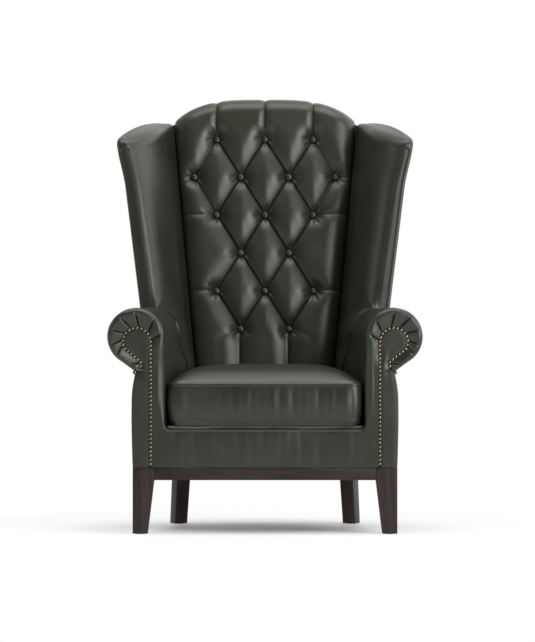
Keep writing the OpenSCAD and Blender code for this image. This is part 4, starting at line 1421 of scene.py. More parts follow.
    def make_nailheads(self) -> None:
        """Cuts one domed nailhead from a ball and sets a copy at each place."""
        first = start_ball(self.nail_r, 16, 10)
        bpy.ops.mesh.bisect(plane_co=(0, 0, 0), plane_no=(0, 0, 1), clear_inner=True, use_fill=True)
        bpy.ops.mesh.select_all(action="SELECT")
        bpy.ops.transform.resize(value=(1, 1, self.nail_h / self.nail_r), center_override=(0, 0, 0))
        head, faces = take_shape(first)
        shapes = []
        for x, z in self.nail_places():
            low = float(self.facing_d(np.array(x), np.array(z))) - self.nail_sunk
            y = self.lines.front_y + low - head[:, 2]
            shapes.append(np.stack([self.side.value * (x + head[:, 0]), y, z + head[:, 1]], 1))
        piece = make_copies(f"{self.side.word}_nailhead_row", shapes, faces)
        # Painted shade round the foot of each nailhead, partly tarnish, carried by the fold mask.
        rim = 1 - ease(0.3, 0.85, head[:, 2] / self.nail_h)
        store_folds(piece, np.concatenate(shapes), np.tile(rim, len(shapes)))
        settle(piece, self.finishes.by_slot["nailhead_brass"], "nailhead_brass",
               f"{self.side.word}_nailheads", angle=50)

    def make_outside(self) -> None:
        """Builds the padded panel on the outer side, below the scroll."""
        u, w = np.meshgrid(np.linspace(0, 1, 60), np.linspace(0, 1, 30))
        tall = self.foot_z - self.lines.seat_z + 0.014 * (1 - ease(0.01, 0.06, u))
        z = self.lines.seat_z + SEAM_GAP + w * tall
        end = self.lines.plane_d(self.lines.outer_n - SEAM_GAP, z)
        d = self.panel_start + u * (end - self.panel_start)
        x = self.outer_x(z) - self.lines.draw_in * d
        puff = self.panel_puff * (1 - (2 * u - 1) ** 4) * (1 - (2 * w - 1) ** 4)
        edge = np.minimum(np.minimum(u, 1 - u) * 0.6, (1 - w) * 0.25)
        fall = rounded_edge(edge, self.panel_edge_r)
        outer = np.stack([x + puff - fall, self.lines.y_of(d), z], -1)
        outer[..., 0] += self.panel_ripple_h * ripple(outer, (8, 8, 14), 2.9)
        inner = np.stack([x - self.panel_t, self.lines.y_of(d), z], -1)
        piece = side_shell(self.side, "outside_arm_leather", outer, inner)
        self.finishes.upholster(piece, f"{self.side.word}_outside_arm", fill=0.8, angle=60)

    def build(self) -> None:
        """Builds the arm's pieces."""
        self.make_cover()
        self.make_facing()
        self.make_nailheads()
        self.make_outside()


@dataclass
class Wing:
    """One wing: a padded inner face with a tail, a front band below a fold, and an outer panel."""

    lines: ChairLines
    finishes: Finishes
    arm: ScrollArm
    side: Side
    low_x: float = 0.342
    lean: float = math.tan(math.radians(7.2))
    low_d: float = 0.374
    back_lean: float = math.tan(math.radians(8.8))
    corner_z: float = 1.066
    rise: float = 0.059
    roll: float = 0.024
    join: float = 0.024
    panel_t: float = 0.005
    panel_puff: float = 0.003
    panel_edge_r: float = 0.0028
    panel_ripple_h: float = 0.0008
    board_t: float = 0.014
    ripple_h: float = 0.0012
    bulge: float = 0.026
    flare: float = 0.009
    band_rise: float = 0.005
    lip: float = 0.0032
    cap: float = 0.016
    face_cap: float = 0.034
    foot_z: float = 0.395
    skin: float = 0.0045
    skin_w: float = 0.007
    blend: float = 0.014
    free_z: tuple[float, float] = (0.555, 0.59)
    tail_z: tuple[float, ...] = (
        0.395, 0.42, 0.449, 0.48, 0.518, 0.55, 0.575, 0.592, 0.603, 0.615, 0.63)
    tail_d: tuple[float, ...] = (
        0.415, 0.408, 0.392, 0.365, 0.341, 0.331, 0.334, 0.348, 0.361, 0.3710, 0.3737)
    counts: tuple[int, ...] = (40, 14, 14, 10, 20)

    def edge(self, z: Array) -> tuple[Array, Array]:
        """Half width and depth of the front edge's outermost lines."""
        above = z - self.lines.arm_h
        flare = self.flare * ease(0.93, 1.045, z)
        return self.low_x + self.lean * above + flare, self.low_d + self.back_lean * above

    def turn(self, z: Array) -> tuple[Array, Array]:
        """Half width and depth at which the outer side starts, behind the rolled front edge."""
        x, d = self.edge(z)
        return x - 0.0008, d + 1.26 * self.roll

    def top_z(self, d: Array) -> Array:
        """Height of the top edge, rounded at its front corner.

        Args:
            d: depths.

        Returns:
            The height at each depth.
        """
        front = self.edge(np.array(self.corner_z))[1]
        end = self.lines.plane_d(self.lines.outer_n, 1.11)
        share = np.clip((d - front) / (end - front), 0, 1)
        return self.corner_z - 0.002 + self.rise * (1 - (1 - share) ** 2.1)

    def ridge(self, z: Array) -> tuple[Array, Array]:
        """Half width and depth of the ridge between the inner face and the front band."""
        x, d = self.edge(z)
        return x - 2 * self.roll * (1.0 - 0.16 * ease(0.6, 1.06, z)), d - self.band_rise

    def front_d(self, z: Array) -> Array:
        """Depth of the inner face's front line: the ridge, then the tail's edge in the arm."""
        return np.where(z > self.tail_z[-1], self.ridge(z)[1], flow(z, self.tail_z, self.tail_d))

    def face_x(self, d: Array, z: Array) -> Array:
        """Half width of the inner face, which swells between the back and the ridge.

        Args:
            d: depths.
            z: heights.

        Returns:
            The half width, kept clear of the arm and the inside back.
        """
        join_d = self.lines.plane_d(self.join, z)
        start = self.lines.pad_half_at(join_d, z) + SEAM_GAP
        ridge_x, ridge_d = self.ridge(z)
        u = (join_d - d) / (join_d - ridge_d)
        puff = np.sin(math.pi * np.clip(u, 0, 1) ** 1.35)
        wing = start + u * (ridge_x - start) - self.bulge * puff
        edge = np.clip((d - self.front_d(z)) / self.skin_w, 0, 1)
        skin = self.skin * np.sqrt(1 - (1 - edge) ** 2)
        both = soft_least(self.arm.inner_x(d, z) - skin, wing, self.blend)
        return np.maximum(both, self.lines.pad_half_at(d, z) + SEAM_GAP)

    def outline(self, z: Array, notch: float) -> Array:
        """The wing's outline, from the joint with the back round its front edge to the rear.

        Args:
            z: height of each point.
            notch: share of the step that leaves room for the board and the outer panel.

        Returns:
            Half width and depth of each point.
        """
        lines = self.lines
        face_z, in_z, band_z, out_z, rear_z = np.split(z, np.cumsum(self.counts)[:-1])
        face_n, in_n, band_n, out_n, rear_n = self.counts

        def stack(x: Array, d: Array) -> Array:
            """Pairs of half width and depth."""
            return np.stack(np.broadcast_arrays(x, d), -1)

        def towards(start: Array, end: Array, reach: float) -> Array:
            """Points at a reach from the start towards the end."""
            way = end - start
            return start + reach * way / np.linalg.norm(way, axis=-1, keepdims=True)

        def sunk(height: Array, back: Array | float) -> Array:
            """Points inside the arm, behind the tail."""
            d = self.front_d(height) + back
            arm_x = self.arm.inner_x(d, np.minimum(height, lines.arm_h - 0.002))
            return stack(np.minimum(arm_x + 0.003, self.low_x - 0.002), d)

        def start_of(height: Array) -> Array:
            """Points at which the inner face ends and the front corner starts."""
            d = self.front_d(height) + 0.004 + 0.032 * ease(0.585, 0.66, height)
            return stack(self.face_x(d, height), d)

        def marks(height: Array) -> tuple[Array, ...]:
            """The corner's points at each height, from the ridge to the rear."""
            above = ease(*self.free_z, height)[:, None]
            front = self.front_d(height)
            ridge = stack(self.face_x(front, height), front)
            ridge = ridge + above * (stack(*self.ridge(height)) - ridge)
            out = stack(*self.edge(height))
            turn = stack(*self.turn(height))
            side = stack(lines.rear_half(height), lines.plane_d(lines.outer_n, height))
            free = (towards(ridge, out, 0.022), towards(out, ridge, 0.010), out,
                    towards(out, turn, 0.010))
            hidden = (sunk(height, back) for back in (0.002, 0.01, 0.02, 0.03))
            corner = (low + above * (high - low) for low, high in zip(hidden, free))
            return ridge, *corner, turn, side

        join_d = lines.plane_d(self.join, face_z)
        end_d = start_of(face_z)[:, 1]
        d = join_d + np.linspace(0, 1, face_n) * (end_d - join_d)
        parts = [stack(self.face_x(d, face_z), d)]
        ridge, second, *_ = marks(in_z)
        parts.append(hook(start_of(in_z), ridge, second, np.linspace(0, 1, in_n + 1)[1:]))
        _, second, third, *_ = marks(band_z)
        share = np.linspace(0, 1, band_n + 1)[1:, None]
        parts.append(second + share * (third - second))
        _, _, third, out, fourth, *_ = marks(out_z)
        parts.append(hook(third, out, fourth, np.linspace(0, 1, out_n + 1)[1:]))
        over = (1 - notch) * (lines.outer_n - lines.frame_n - SEAM_GAP)
        rear_d = lines.plane_d(lines.frame_n - SEAM_GAP + over, rear_z)
        *_, first, side = marks(rear_z)
        run = np.minimum(np.linspace(0, 1, rear_n - 1) * 1.06, 1)
        run = np.concatenate([[0, 0.001], run[1:]])[:, None]
        share = (rear_d - first[:, 1]) / (side[:, 1] - first[:, 1])
        last = first + share[:, None] * (side - first)
        along = first + run * (last - first)
        step = np.full(rear_n, notch * (self.panel_t + self.board_t + 2 * SEAM_GAP))
        step[0] = 0
        along[:, 0] -= step
        along[-1] = [lines.pad_half_at(rear_d[-1], rear_z[-1]) + SEAM_GAP, rear_d[-1]]
        inside = sunk(rear_z, np.linspace(0.04, 0.2, rear_n))
        parts.append(inside + ease(*self.free_z, rear_z)[:, None] * (along - inside))
        return np.concatenate(parts)

    def band_mask(self, flat: Array) -> tuple[Array, Array]:
        """Finds the front band on a ring.

        Args:
            flat: half width and depth of each point.

        Returns:
            How far each point lies on the band, and its place across it from 0 to 1.
        """
        face_n, in_n, band_n, out_n, _ = self.counts
        steps = np.linalg.norm(np.diff(flat, axis=0, prepend=flat[:1]), axis=1)
        steps[:face_n + in_n // 2] = 0
        steps[face_n + in_n + band_n + out_n // 2:] = 0
        run = np.cumsum(steps)
        across = run / run[-1]
        return ease(0.0, 0.45, across) * ease(0.0, 0.25, 1 - across), across

    @property
    def caps(self) -> Array:
        """Radius of the rounded top at each point of a ring, larger on the inner face."""
        face_n, in_n, *rest = self.counts
        wide = np.concatenate([ease(0, 0.45, np.linspace(0, 1, face_n)),
                               ease(1, 0, np.linspace(0, 1, in_n)), np.zeros(sum(rest))])
        return self.cap + (self.face_cap - self.cap) * wide

    def ring_at(self, share: float, notch: float) -> tuple[Array, Array]:
        """One ring of the pad.

        Args:
            share: share of the way up from the foot to the rounded top.
            notch: share of the step for the board and the outer panel.

        Returns:
            Half width and depth of each point, and its height.
        """
        z = np.full(sum(self.counts), self.foot_z + share * (self.corner_z - self.foot_z))
        for _ in range(3):
            flat = self.outline(z, notch)
            z = self.foot_z + share * (self.top_z(flat[:, 1]) - self.caps - self.foot_z)
        return flat, z

    def make_pad(self) -> None:
        """Builds the padded inner face with its tail, front band and rounded top."""
        mask, across = self.band_mask(self.ring_at(1.0, 1.0)[0])
        lip_h = 0.022 + 0.020 * np.abs(2 * across - 1) ** 2.6
        rings, folds = [], []

        def add(flat: Array, z: Array) -> None:
            """Adds a ring, with the front band sunk below the lip of the folded corner."""
            below = self.top_z(flat[:, 1]) - z
            sink = mask * (self.lip * ease(lip_h - 0.0015, lip_h + 0.0015, below) - 0.001)
            y = self.lines.y_of(flat[:, 1] + sink)
            rings.append(np.stack([flat[:, 0], y, z], 1))
            # Painted shade along the fold under the lip of the front band.
            folds.append(0.8 * mask * np.exp(-((below - lip_h) / 0.002) ** 2))

        shares = np.concatenate([np.linspace(0, 0.4, 70, endpoint=False),
                                 np.linspace(0.4, 0.9, 40, endpoint=False),
                                 np.linspace(0.9, 1, 44)])
        for share in shares:
            add(*self.ring_at(float(share), 1.0))
        flat, z = self.ring_at(1.0, 0.0)
        add(flat, z)
        edge_x, edge_d = self.edge(np.array(self.corner_z))
        spine = np.array([[edge_x - 0.024, edge_d + 0.022],
                          [0.5 * (flat[0, 0] + flat[-2, 0]) + 0.004, flat[-2, 1] + 0.02]])
        way = spine[1] - spine[0]
        share = np.clip((flat - spine[0]) @ way / (way @ way), 0, 1)[:, None]
        inwards = spine[0] + share * way - flat
        reach = np.linalg.norm(inwards, axis=1, keepdims=True)
        for a in np.linspace(0, math.pi / 2, 10)[1:]:
            inset = np.minimum(self.caps[:, None] * (1 - math.cos(a)), 0.8 * reach)
            moved = flat + inwards / reach * inset
            add(moved, self.top_z(moved[:, 1]) - self.caps * (1 - math.sin(a)))
        moved = flat + 0.97 * inwards
        add(moved, self.top_z(moved[:, 1]) + 0.0006)
        grid = np.array(rings)
        face = np.zeros(grid.shape[1])
        face[2:self.counts[0]] = 1
        live = face * ease(0.0, 0.05, self.top_z(grid[..., 1] - self.lines.front_y) - grid[..., 2])
        live = live * ease(0.45, 0.62, grid[..., 2])
        grid[..., 0] += self.ripple_h * ripple(grid, (7, 9, 9), 8.3) * live
        grid[..., 0] *= self.side.value
        piece = ring_shell(f"{self.side.word}_wing_leather", grid)
        store_folds(piece, grid, np.array(folds))
        self.finishes.upholster(piece, f"{self.side.word}_wing", fill=0.8, angle=60)

    def make_outside(self) -> None:
        """Builds the padded outer panel."""
        u, w = np.meshgrid(np.linspace(0, 1, 50), np.linspace(0, 1, 60))
        foot = self.arm.scroll_z + 0.01
        rough = foot + w * (self.corner_z - foot)
        for _ in range(2):
            start_x, start_d = self.turn(rough)
            end_x = self.lines.rear_half(rough)
            end_d = self.lines.plane_d(self.lines.outer_n - SEAM_GAP, rough)
            d = start_d - 0.0006 + u * (end_d - start_d)
            rough = foot + w * (self.top_z(d) - self.cap - SEAM_GAP - foot)
        x = start_x + u * (end_x - start_x) - 0.0016
        puff = self.panel_puff * (1 - (2 * u - 1) ** 4) * (1 - (2 * w - 1) ** 6)
        edge = np.minimum(np.minimum(u, 1 - u) * 0.4, (1 - w) * 0.5)
        fall = rounded_edge(edge, self.panel_edge_r)
        outer = np.stack([x + puff - fall, self.lines.y_of(d), rough], -1)
        outer[..., 0] += self.panel_ripple_h * ripple(outer, (8, 8, 8), 6.1)
        inner = np.stack([x - self.panel_t + 0.0008, self.lines.y_of(d), rough], -1)
        piece = side_shell(self.side, "outside_wing_leather", outer, inner)
        self.finishes.upholster(piece, f"{self.side.word}_outside_wing", fill=0.8, angle=60)

    def build(self) -> None:
        """Builds the wing's pieces."""
        self.make_pad()
        self.make_outside()


@dataclass
class Seat:
    """The loose box cushion, the padded front border and the lining under the seat."""

    lines: ChairLines
    finishes: Finishes
    arm: ScrollArm
    gap: float = 0.004
    back_gap: float = 0.006
    inset: float = 0.010
    corner_r: float = 0.030
    height: float = 0.112
    crown: float = 0.048
    seam_h: float = 0.0011
    groove_h: float = 0.0012
    boxing_puff: float = 0.0035
    foot_tuck: float = 0.0055
    ripple_h: float = 0.0010
    border_inset: float = 0.0015
    border_t: float = 0.014
    border_r: float = 0.008
    border_puff: float = 0.0020
    border_ripple_h: float = 0.0015
    border_wave_h: float = 0.0034
    lap_t: float = 0.0004
    sill: float = 0.0095
    sill_corner_r: float = 0.016
    leg_block: float = 0.092
    lining_inset: float = 0.001
    lining_sag: float = 0.006
    lining_t: float = 0.0007

    def half(self, d: Array) -> Array:
        """Half width of the cushion at a depth."""
        return self.arm.arm_in - self.gap - self.lines.draw_in * d

    @property
    def foot_z(self) -> float:
        """Height of the cushion's flat base."""
        return self.lines.deck_top + SEAM_GAP

    def plan(self, around: int) -> tuple[Array, float, float]:
        """The cushion's rounded outline.

        Args:
            around: number of points.

        Returns:
            The points, and the depths of the front and the rear.
        """
        front = self.inset
        rear = float(self.lines.plane_d(0, self.foot_z)) - self.back_gap
        r = self.corner_r
        corners = []
        for depth, sign, angle in ((front + r, 1, -90), (rear - r, 1, 0), (rear - r, -1, 90),
                                   (front + r, -1, 180)):
            middle = (sign * (float(self.half(depth)) - r), depth)
            corners.append(arc(middle, r, angle, angle + 90, 14))
        path = np.concatenate([*corners, corners[0][:1]])
        return even_steps(path, around, closed=True), front, rear

    def crown_rise(self, plan: Array, share: float, front: float, rear: float) -> Array:
        """Rise of the crown on one ring.

        Args:
            plan: points of the ring.
            share: share of the way out.
            front: depth of the front.
            rear: depth of the rear.

        Returns:
            The rise at each point.
        """
        u = np.clip(np.abs(plan[:, 0]) / self.half(plan[:, 1]), 0, 1)
        w = np.clip(np.abs(plan[:, 1] - (front + rear) / 2) / ((rear - front) / 2), 0, 1)
        dome = (1 - u ** 6) ** 0.65 * (1 - w ** 4) ** 0.72
        return self.crown * dome * math.sqrt(max(0.0, 1 - share ** 10))

    def make_cushion(self) -> None:
        """Builds the cushion: a crowned top, a boxing between two seams and a flat base."""
        plan, front, rear = self.plan(560)
        middle = np.array([0, (front + rear) / 2])
        low, top = self.foot_z, self.foot_z + self.height
        tangent = np.roll(plan, -1, axis=0) - np.roll(plan, 1, axis=0)
        tangent /= np.linalg.norm(tangent, axis=1, keepdims=True)
        outward = np.stack([tangent[:, 1], -tangent[:, 0]], 1)
        lean = math.tan(self.lines.rake)
        share_back = (plan[:, 1] - front) / (rear - front)
        rings, on_top = [], []

        def add(places: Array, z: Array, top_side: bool) -> None:
            """Adds a ring that leans with the back at its rear."""
            heights = np.broadcast_to(z, len(places))
            y = self.lines.y_of(places[:, 1] + (heights - low) * lean * share_back)
            rings.append(np.stack([places[:, 0], y, heights], 1))
            on_top.append(np.full(len(places), float(top_side)))

        for share in (0.25, 0.55, 0.8, 0.93, 0.975):
            add(middle + share * (plan - middle), low, False)
        add(plan - outward * 0.006, low + 0.0012, False)
        creases = self.crease_field(plan)
        for t in np.linspace(0, 1, 30):
            z = low + 0.005 + t * (self.height - 0.006)
            seam = max(math.exp(-((t - 1) / 0.03) ** 2), math.exp(-((t - 0.075) / 0.03) ** 2))
            groove = math.exp(-((t - 0.93) / 0.025) ** 2) + math.exp(-((t - 0.15) / 0.025) ** 2)
            swell = self.boxing_puff * math.sin(math.pi * t)
            swell = swell - self.groove_h * groove + self.seam_h * seam
            corner = self.foot_tuck * (1 - t) ** 6
            offset = swell - corner + creases * (math.sin(math.pi * min(1, t * 1.05)) ** 0.7)
            add(plan + outward * offset[:, None], z, False)
        for inset, lift in ((0.0010, 0.0012), (0.0028, 0.0006), (0.0048, 0.0016)):
            add(plan - outward * inset, top + lift, True)
        for share in np.linspace(0.975, 0.06, 34):
            places = middle + share * (plan - middle)
            add(places, top + 0.0016 + self.crown_rise(places, float(share), front, rear), True)
        grid = np.array(rings)
        grid[..., 2] += self.ripple_h * ripple(grid, (12, 12, 12), 4.4) * np.array(on_top)
        piece = ring_shell("seat_cushion_leather", grid)
        self.finishes.upholster(piece, "seat_cushion", fill=0.85, angle=70, body=CUSHION_BODY)

    def crease_field(self, plan: Array) -> Array:
        """Relief of the upright creases round the boxing.

        Args:
            plan: points of the outline.

        Returns:
            The relief at each point.
        """
        places = np.concatenate([plan, np.zeros((len(plan), 1))], axis=1)
        fine = ripple(places, (58, 58, 1), 9.2)
        wide = ripple(places, (17, 17, 1), 2.2)
        return 0.0038 * fine * (0.5 + np.abs(fine)) * (0.6 + wide) + 0.0030 * wide

    def sill_rise(self, past: float) -> float:
        """How far the border's top rises towards the arm.

        Args:
            past: distance past the corner, less than 0 before it.

        Returns:
            The rise.
        """
        r = self.sill_corner_r
        if past >= 0:
            return 0.8 * r
        across = min(max(past + r, 0.0), 0.98 * r)
        return r - math.sqrt(r ** 2 - across ** 2)

    def make_border(self) -> None:
        """Builds the padded front border, whose ends lap thinly over the fronts of the arms."""
        low, top = self.lines.seat_z + SEAM_GAP, self.lines.deck_top
        front, rear = self.border_inset, self.border_inset + self.border_t
        r, round_n, face_n = self.border_r, 12, 30
        middle = self.arm.arm_in - 0.0008
        end = np.linspace(middle, self.arm.post_in - 0.006, 26)[1:]
        x = np.concatenate([-end[::-1], np.linspace(-middle, middle, 300), end])
        a = np.radians(np.linspace(180, 90, round_n))
        grid = []
        for place in x:
            size = abs(place)
            lap = float(ease(middle - 0.0002, middle + 0.0002, np.array(size)))
            peak = top - self.sill + self.sill_rise(size - middle)
            heights = np.concatenate([np.linspace(low, peak - r, face_n + 1)[:-1],
                                      peak - r + r * np.sin(a)])
            up = np.clip((heights - low) / (top - r - low), 0, 1)
            swell = self.border_puff * np.sin(math.pi * up)
            beside = float(ease(middle - 0.045, middle - 0.002, np.array(size)))
            bend = np.concatenate([np.zeros(face_n), r + r * np.cos(a)])
            face = (1 - beside) * (front - swell) - self.lap_t * beside + bend
            beyond = np.full_like(heights, max(size - self.arm.arm_in, 0.0))
            on_arm = rounded_edge(beyond, self.arm.edge_radius(heights))
            on_arm = on_arm * ease(0.266, 0.285, heights) - self.lap_t
            behind = rear + lap * (on_arm[[-1, 20, 0]] + SEAM_GAP - rear)
            d = np.concatenate([face + lap * (on_arm - face), behind])
            half = np.full_like(d, size)
            if lap < 0.5:
                arm_x = self.arm.arm_in - SEAM_GAP - self.lines.draw_in * np.maximum(d, 0)
                half = np.minimum(half, arm_x)
            z = np.concatenate([heights, [peak if lap > 0.5 else top, (low + top) / 2, low]])
            grid.append(np.stack([math.copysign(1, place) * half, self.lines.y_of(d), z], 1))
        grid = np.array(grid)
        shows = ease(rear - 0.002, rear - 0.008, grid[..., 1] - self.lines.front_y)
        shows *= ease(middle - 0.004, middle - 0.04, np.abs(grid[..., 0]))
        wave = self.border_ripple_h * ripple(grid, (50, 1, 9), 7.7)
        wave += self.border_wave_h * ripple(grid, (12, 1, 7), 1.7)
        grid[..., 1] -= wave * shows
        piece = ring_shell("front_border_leather", grid)
        self.finishes.upholster(piece, "front_border", fill=0.7, angle=70)

    def make_lining(self) -> None:
        """Builds the stretched lining under the seat, with its corners cut round the leg blocks."""
        low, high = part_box("dust_cover")
        inset, s = self.lining_inset, np.linspace(-1, 1, 60)
        y = np.linspace(low[1] + inset, high[1] - inset, 60)
        deep = high[1] - low[1]
        side = high[0] - inset - self.lines.draw_in * (y - low[1])
        rear_half = high[0] - inset - self.lines.draw_in * deep
        half = side * np.interp(y - low[1], [0, deep - self.leg_block, deep],
                                [1, 1, 1 - self.leg_block / rear_half])
        sag = self.lining_sag * np.sin(math.pi * np.linspace(0, 1, len(y)))[:, None]
        sag = sag * (1 - s ** 2)
        x = half[:, None] * s
        z = high[2] - 0.0008 - sag
        upper = np.stack([x, np.broadcast_to(y[:, None], x.shape), z], -1)
        piece = pad_shell("seat_lining", upper - np.array([0, 0, self.lining_t]), upper)
        settle(piece, self.finishes.by_slot["black_cloth"], "black_cloth", "dust_cover")

    def build(self) -> None:
        """Builds the seat's pieces."""
        self.make_cushion()
        self.make_border()
        self.make_lining()


@dataclass
class OutsideBack:
    """The padded panel that closes the rear, with an arched top."""

    lines: ChairLines
    finishes: Finishes
    puff: float = 0.005
    edge_r: float = 0.005
    ripple_h: float = 0.0012

    def build(self) -> None:
        """Builds the panel."""
        lines = self.lines
        top = lines.back_h - lines.crown_roll / 2
        corner = top - lines.crown_drop
        foot = float(lines.up_at(lines.outer_n, lines.seat_z + SEAM_GAP))
        u, w = np.meshgrid(np.linspace(-1, 1, 90), np.linspace(0, 1, 110))
        half_top = lines.rear_half(lines.seat_z + corner * math.cos(lines.rake))
        arm_v = float(lines.up_at(lines.outer_n, lines.arm_h))
        foot_half = min(lines.rear_x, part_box("outside_back")[1][0])
        half = np.interp(foot + w * (corner - foot), [foot, arm_v, corner],
                         [foot_half, lines.rear_x, half_top])
        x = u * half
        v = foot + w * (top - lines.crown_fall(x, half_top) - foot)
        edge = np.minimum((1 - np.abs(u)) * half, np.minimum(1 - w, w) * (top - foot))
        bulge = self.puff * (1 - u ** 4) * (1 - (2 * w - 1) ** 6)
        bulge = bulge - rounded_edge(edge, self.edge_r)
        n = lines.outer_n + lines.outside_t - 0.001 + bulge
        outer = lines.world(x, v, n)
        outer = outer - lines.normal * (self.ripple_h * ripple(outer, (7, 7, 7), 3.3))[..., None]
        inner = lines.world(x, v, np.full_like(x, lines.outer_n))
        piece = pad_shell("outside_back_leather", outer, inner)
        self.finishes.upholster(piece, "outside_back", fill=0.8, angle=60)


@dataclass
class TimberBase:
    """Four legs and the four plinth rails between them."""

    lines: ChairLines
    finishes: Finishes
    bevel: float = 0.0016
    foot_gap: float = 0.0012
    foot_share: float = 40 / 57
    straight_h: float = 0.033
    leg_turn: float = math.radians(24)
    splay: float = 0.008
    kick: float = 0.024
    rear_w: float = 0.040
    rear_foot_share: float = 37 / 40

    def front_leg(self, side: Side) -> None:
        """A square leg whose two inner faces taper below the plinth.

        Args:
            side: its side of the chair.
        """
        node = f"front_{side.word}_leg"
        low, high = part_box(node)
        low = (low[0], low[1], self.foot_gap)
        piece = start_block(f"{node}_timber", low, high)
        bpy.ops.mesh.select_all(action="SELECT")
        knee = high[2] - self.straight_h
        bpy.ops.mesh.bisect(plane_co=(0, 0, knee), plane_no=(0, 0, 1))
        pick(piece, lambda co: co.z < knee - PICK_REACH)
        outer_x = low[0] if side is Side.LEFT else high[0]
        share = self.foot_share
        bpy.ops.transform.resize(value=(share, share, 1), center_override=(outer_x, low[1], low[2]))
        end_block(self.bevel)
        settle(piece, self.finishes.leg, "timber", node)

    def rear_leg(self, side: Side) -> None:
        """A square leg, turned to face inwards, whose foot stands out and back.

        Args:
            side: its side of the chair.
        """
        node = f"rear_{side.word}_leg"
        low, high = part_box(node)
        low = (low[0], low[1], self.foot_gap)
        half = self.rear_w / 2
        spread = half * (math.cos(self.leg_turn) + math.sin(self.leg_turn))
        top_x = low[0] + spread if side is Side.RIGHT else high[0] - spread
        top_y = low[1] + spread
        piece = start_block(f"{node}_timber", (top_x - half, top_y - half, low[2]),
                            (top_x + half, top_y + half, high[2]))
        bpy.ops.object.mode_set(mode="OBJECT")
        bpy.context.scene.cursor.location = (top_x, top_y, low[2])
        bpy.ops.object.origin_set(type="ORIGIN_CURSOR")
        piece.rotation_euler[2] = -self.leg_turn * side.value
        bpy.ops.object.transform_apply(location=True, rotation=True, scale=True)
        bpy.ops.object.mode_set(mode="EDIT")
        pick(piece, lambda co: co.z < low[2] + PICK_REACH)
        share = self.rear_foot_share
        bpy.ops.transform.resize(value=(share, share, 1), center_override=(top_x, top_y, low[2]))
        bpy.ops.transform.translate(value=(self.splay * side.value, self.kick, 0))
        end_block(self.bevel)
        settle(piece, self.finishes.leg, "timber", node)

    def cross_rail(self, node: str, drawn: bool) -> None:
        """A rail across the chair.

        Args:
            node: the node that it stands for.
            drawn: whether its ends draw in to the rear.
        """
        low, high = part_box(node)
        piece = start_block(f"{node}_timber", low, high)
        if drawn:
            pick(piece, lambda co: co.y > high[1] - PICK_REACH)
            half = (high[0] - low[0]) / 2
            share = (half - self.lines.draw_in * (high[1] - low[1])) / half
            bpy.ops.transform.resize(value=(share, 1, 1), center_override=(0, high[1], high[2]))
        end_block(self.bevel)
        settle(piece, self.finishes.cross_rail, "timber", node)

    def side_rail(self, side: Side) -> None:
        """A rail that draws in towards the rear.

        Args:
            side: its side of the chair.
        """
        node = f"base_{side.word}_rail"
        low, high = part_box(node)
        shift = self.lines.draw_in * (high[1] - low[1])
        width = high[0] - low[0] - shift
        x = high[0] - width if side is Side.RIGHT else low[0]
        piece = start_block(f"{node}_timber", (x, low[1], low[2]), (x + width, high[1], high[2]))
        pick(piece, lambda co: co.y > high[1] - PICK_REACH)
        bpy.ops.transform.translate(value=(-shift * side.value, 0, 0))
        end_block(self.bevel)
        settle(piece, self.finishes.side_rail, "timber", node)

    def build(self) -> None:
        """Builds the base's pieces."""
        for side in Side:
            self.front_leg(side)
            self.rear_leg(side)
            self.side_rail(side)
        self.cross_rail("base_front_rail", drawn=False)
        self.cross_rail("base_rear_rail", drawn=True)


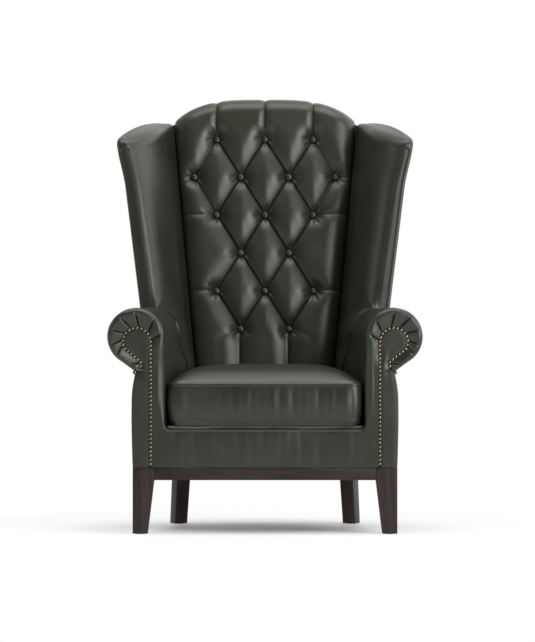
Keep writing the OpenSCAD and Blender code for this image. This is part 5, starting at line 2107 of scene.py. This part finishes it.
@dataclass
class Studio:
    """The camera, the lamps and the pale floor."""

    front_y: float
    distance: float = 11.83
    eye_z: float = 0.565
    lens: float = 250.3
    sensor: float = 36.0
    chair_px: float = 265.0
    picture_px: tuple[float, float] = (535.0, 642.0)

    def camera(self) -> None:
        """Sets the camera level with the seat back, far in front of the chair."""
        data = bpy.data.cameras.new("camera")
        data.lens = self.lens
        data.sensor_width = self.sensor
        data.clip_end = 100
        data.shift_x = (self.picture_px[0] / 2 - self.chair_px) / self.picture_px[1]
        camera = bpy.data.objects.new("camera", data)
        camera.location = (0, self.front_y - self.distance, self.eye_z)
        camera.rotation_euler = (math.radians(90), 0, 0)
        bpy.context.scene.collection.objects.link(camera)
        bpy.context.scene.camera = camera

    @staticmethod
    def lamp(name: str, place: Sequence[float], target: Sequence[float],
             size: tuple[float, float], power: float) -> None:
        """Adds a soft box.

        Args:
            name: name of the lamp.
            place: where it stands.
            target: what it looks at.
            size: its width and height.
            power: its power in watts.
        """
        data = bpy.data.lights.new(name, "AREA")
        data.shape = "RECTANGLE"
        data.size, data.size_y = size
        data.energy = power
        lamp = bpy.data.objects.new(name, data)
        lamp.location = place
        aim = Vector(target) - Vector(place)
        lamp.rotation_euler = aim.to_track_quat("-Z", "Y").to_euler()
        bpy.context.scene.collection.objects.link(lamp)

    @staticmethod
    def world() -> None:
        """A white background, with a dimmer sky for the light on the chair."""
        world = bpy.data.worlds.new("studio")
        bpy.context.scene.world = world
        world.use_nodes = True
        world.node_tree.nodes.clear()
        sheet = NodeSheet(world.node_tree)
        path = sheet.add("ShaderNodeLightPath").outputs
        direction = sheet.add("ShaderNodeTexCoord").outputs["Generated"]
        axes = sheet.add("ShaderNodeSeparateXYZ", Vector=direction).outputs
        front = sheet.ramp(sheet.sum("MULTIPLY", axes["Y"], -1.0), 0.1, 0.75)
        sides = sheet.mix(sheet.ramp(axes["X"], -0.9, 0.5), grey(0.27), grey(1.7))
        sides = sheet.mix(sheet.ramp(axes["X"], 0.7, 1.0), sides, grey(3.5))
        studio = sheet.mix(front, sides, grey(0.07))
        seen = sheet.sum("ADD", path["Is Glossy Ray"], path["Is Transmission Ray"], clamp=True)
        fill, mirror, white = (
            sheet.add("ShaderNodeBackground", Color=color, Strength=strength).outputs[0]
            for color, strength in ((grey(1), 0.56), (studio, 0.85), (grey(1), 1.0)))
        light = sheet.add("ShaderNodeMixShader", in_0=seen, in_1=fill, in_2=mirror).outputs[0]
        both = sheet.add("ShaderNodeMixShader", in_0=path["Is Camera Ray"], in_1=light, in_2=white)
        sheet.add("ShaderNodeOutputWorld", Surface=both.outputs[0])

    @staticmethod
    def floor() -> None:
        """A pale floor that stays white to the camera and keeps the chair's shadow."""
        bpy.ops.object.select_all(action="DESELECT")
        bpy.ops.mesh.primitive_plane_add(size=60, location=(0, 0, 0))
        floor = bpy.context.active_object
        floor.name = "floor"
        bpy.ops.object.transform_apply(location=True, rotation=True, scale=True)
        material, sheet, shader = new_material("pale_floor")
        sheet.feed(shader, Base_Color=grey(0.93), Roughness=0.55, Specular_IOR_Level=0.3)
        path = sheet.add("ShaderNodeLightPath").outputs
        reach = sheet.add("ShaderNodeVectorMath", {"operation": "LENGTH"}, in_0=sheet.place())
        reach = reach.outputs["Value"]
        near = sheet.sum("MULTIPLY", sheet.ramp(reach, 0.2, 0.62), 0.8)
        far = sheet.sum("MAXIMUM", near, sheet.ramp(reach, 0.66, 1.15))
        glow = sheet.add("ShaderNodeEmission", Color=grey(1), Strength=1.0).outputs[0]
        seen = sheet.sum("MAXIMUM", path["Is Camera Ray"], path["Is Glossy Ray"])
        share = sheet.sum("MULTIPLY", seen, sheet.sum("MAXIMUM", far, 0.03))
        mixed = sheet.add("ShaderNodeMixShader", in_0=share, in_1=shader.outputs[0], in_2=glow)
        sheet.feed(sheet.tree.nodes["Material Output"], Surface=mixed.outputs[0])
        floor.data.materials.append(material)

    def build(self) -> None:
        """Builds the whole studio."""
        scene = bpy.context.scene
        scene.view_settings.view_transform = "Standard"
        self.camera()
        self.world()
        self.floor()
        self.lamp("overhead", (0, -0.5, 4.2), (0, 0, 0.4), (3.6, 3.0), 92)
        self.lamp("right_front", (2.6, -3.5, 1.7), (0, 0, 0.7), (1.6, 2.6), 122)
        self.lamp("left_side", (-3.9, -0.6, 1.4), (0, 0, 0.7), (1.2, 2.6), 16)


def main() -> None:
    """Builds the studio, then the chair's sub-assemblies in order."""
    logging.basicConfig(level=logging.INFO, format="%(name)s: %(message)s")
    front_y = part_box("left_arm_facing")[0][1]
    lines = ChairLines(front_y=front_y, seat_z=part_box("front_left_leg")[1][2])
    Studio(front_y).build()
    finishes = Finishes()
    finishes.dress_nodes()
    TimberBase(lines, finishes).build()
    TuftedBack(lines, finishes).build()
    arms = {side: ScrollArm(lines, finishes, side) for side in Side}
    for side, arm in arms.items():
        arm.build()
        Wing(lines, finishes, arm, side).build()
    Seat(lines, finishes, arms[Side.RIGHT]).build()
    OutsideBack(lines, finishes).build()


if __name__ == "__main__":
    main()
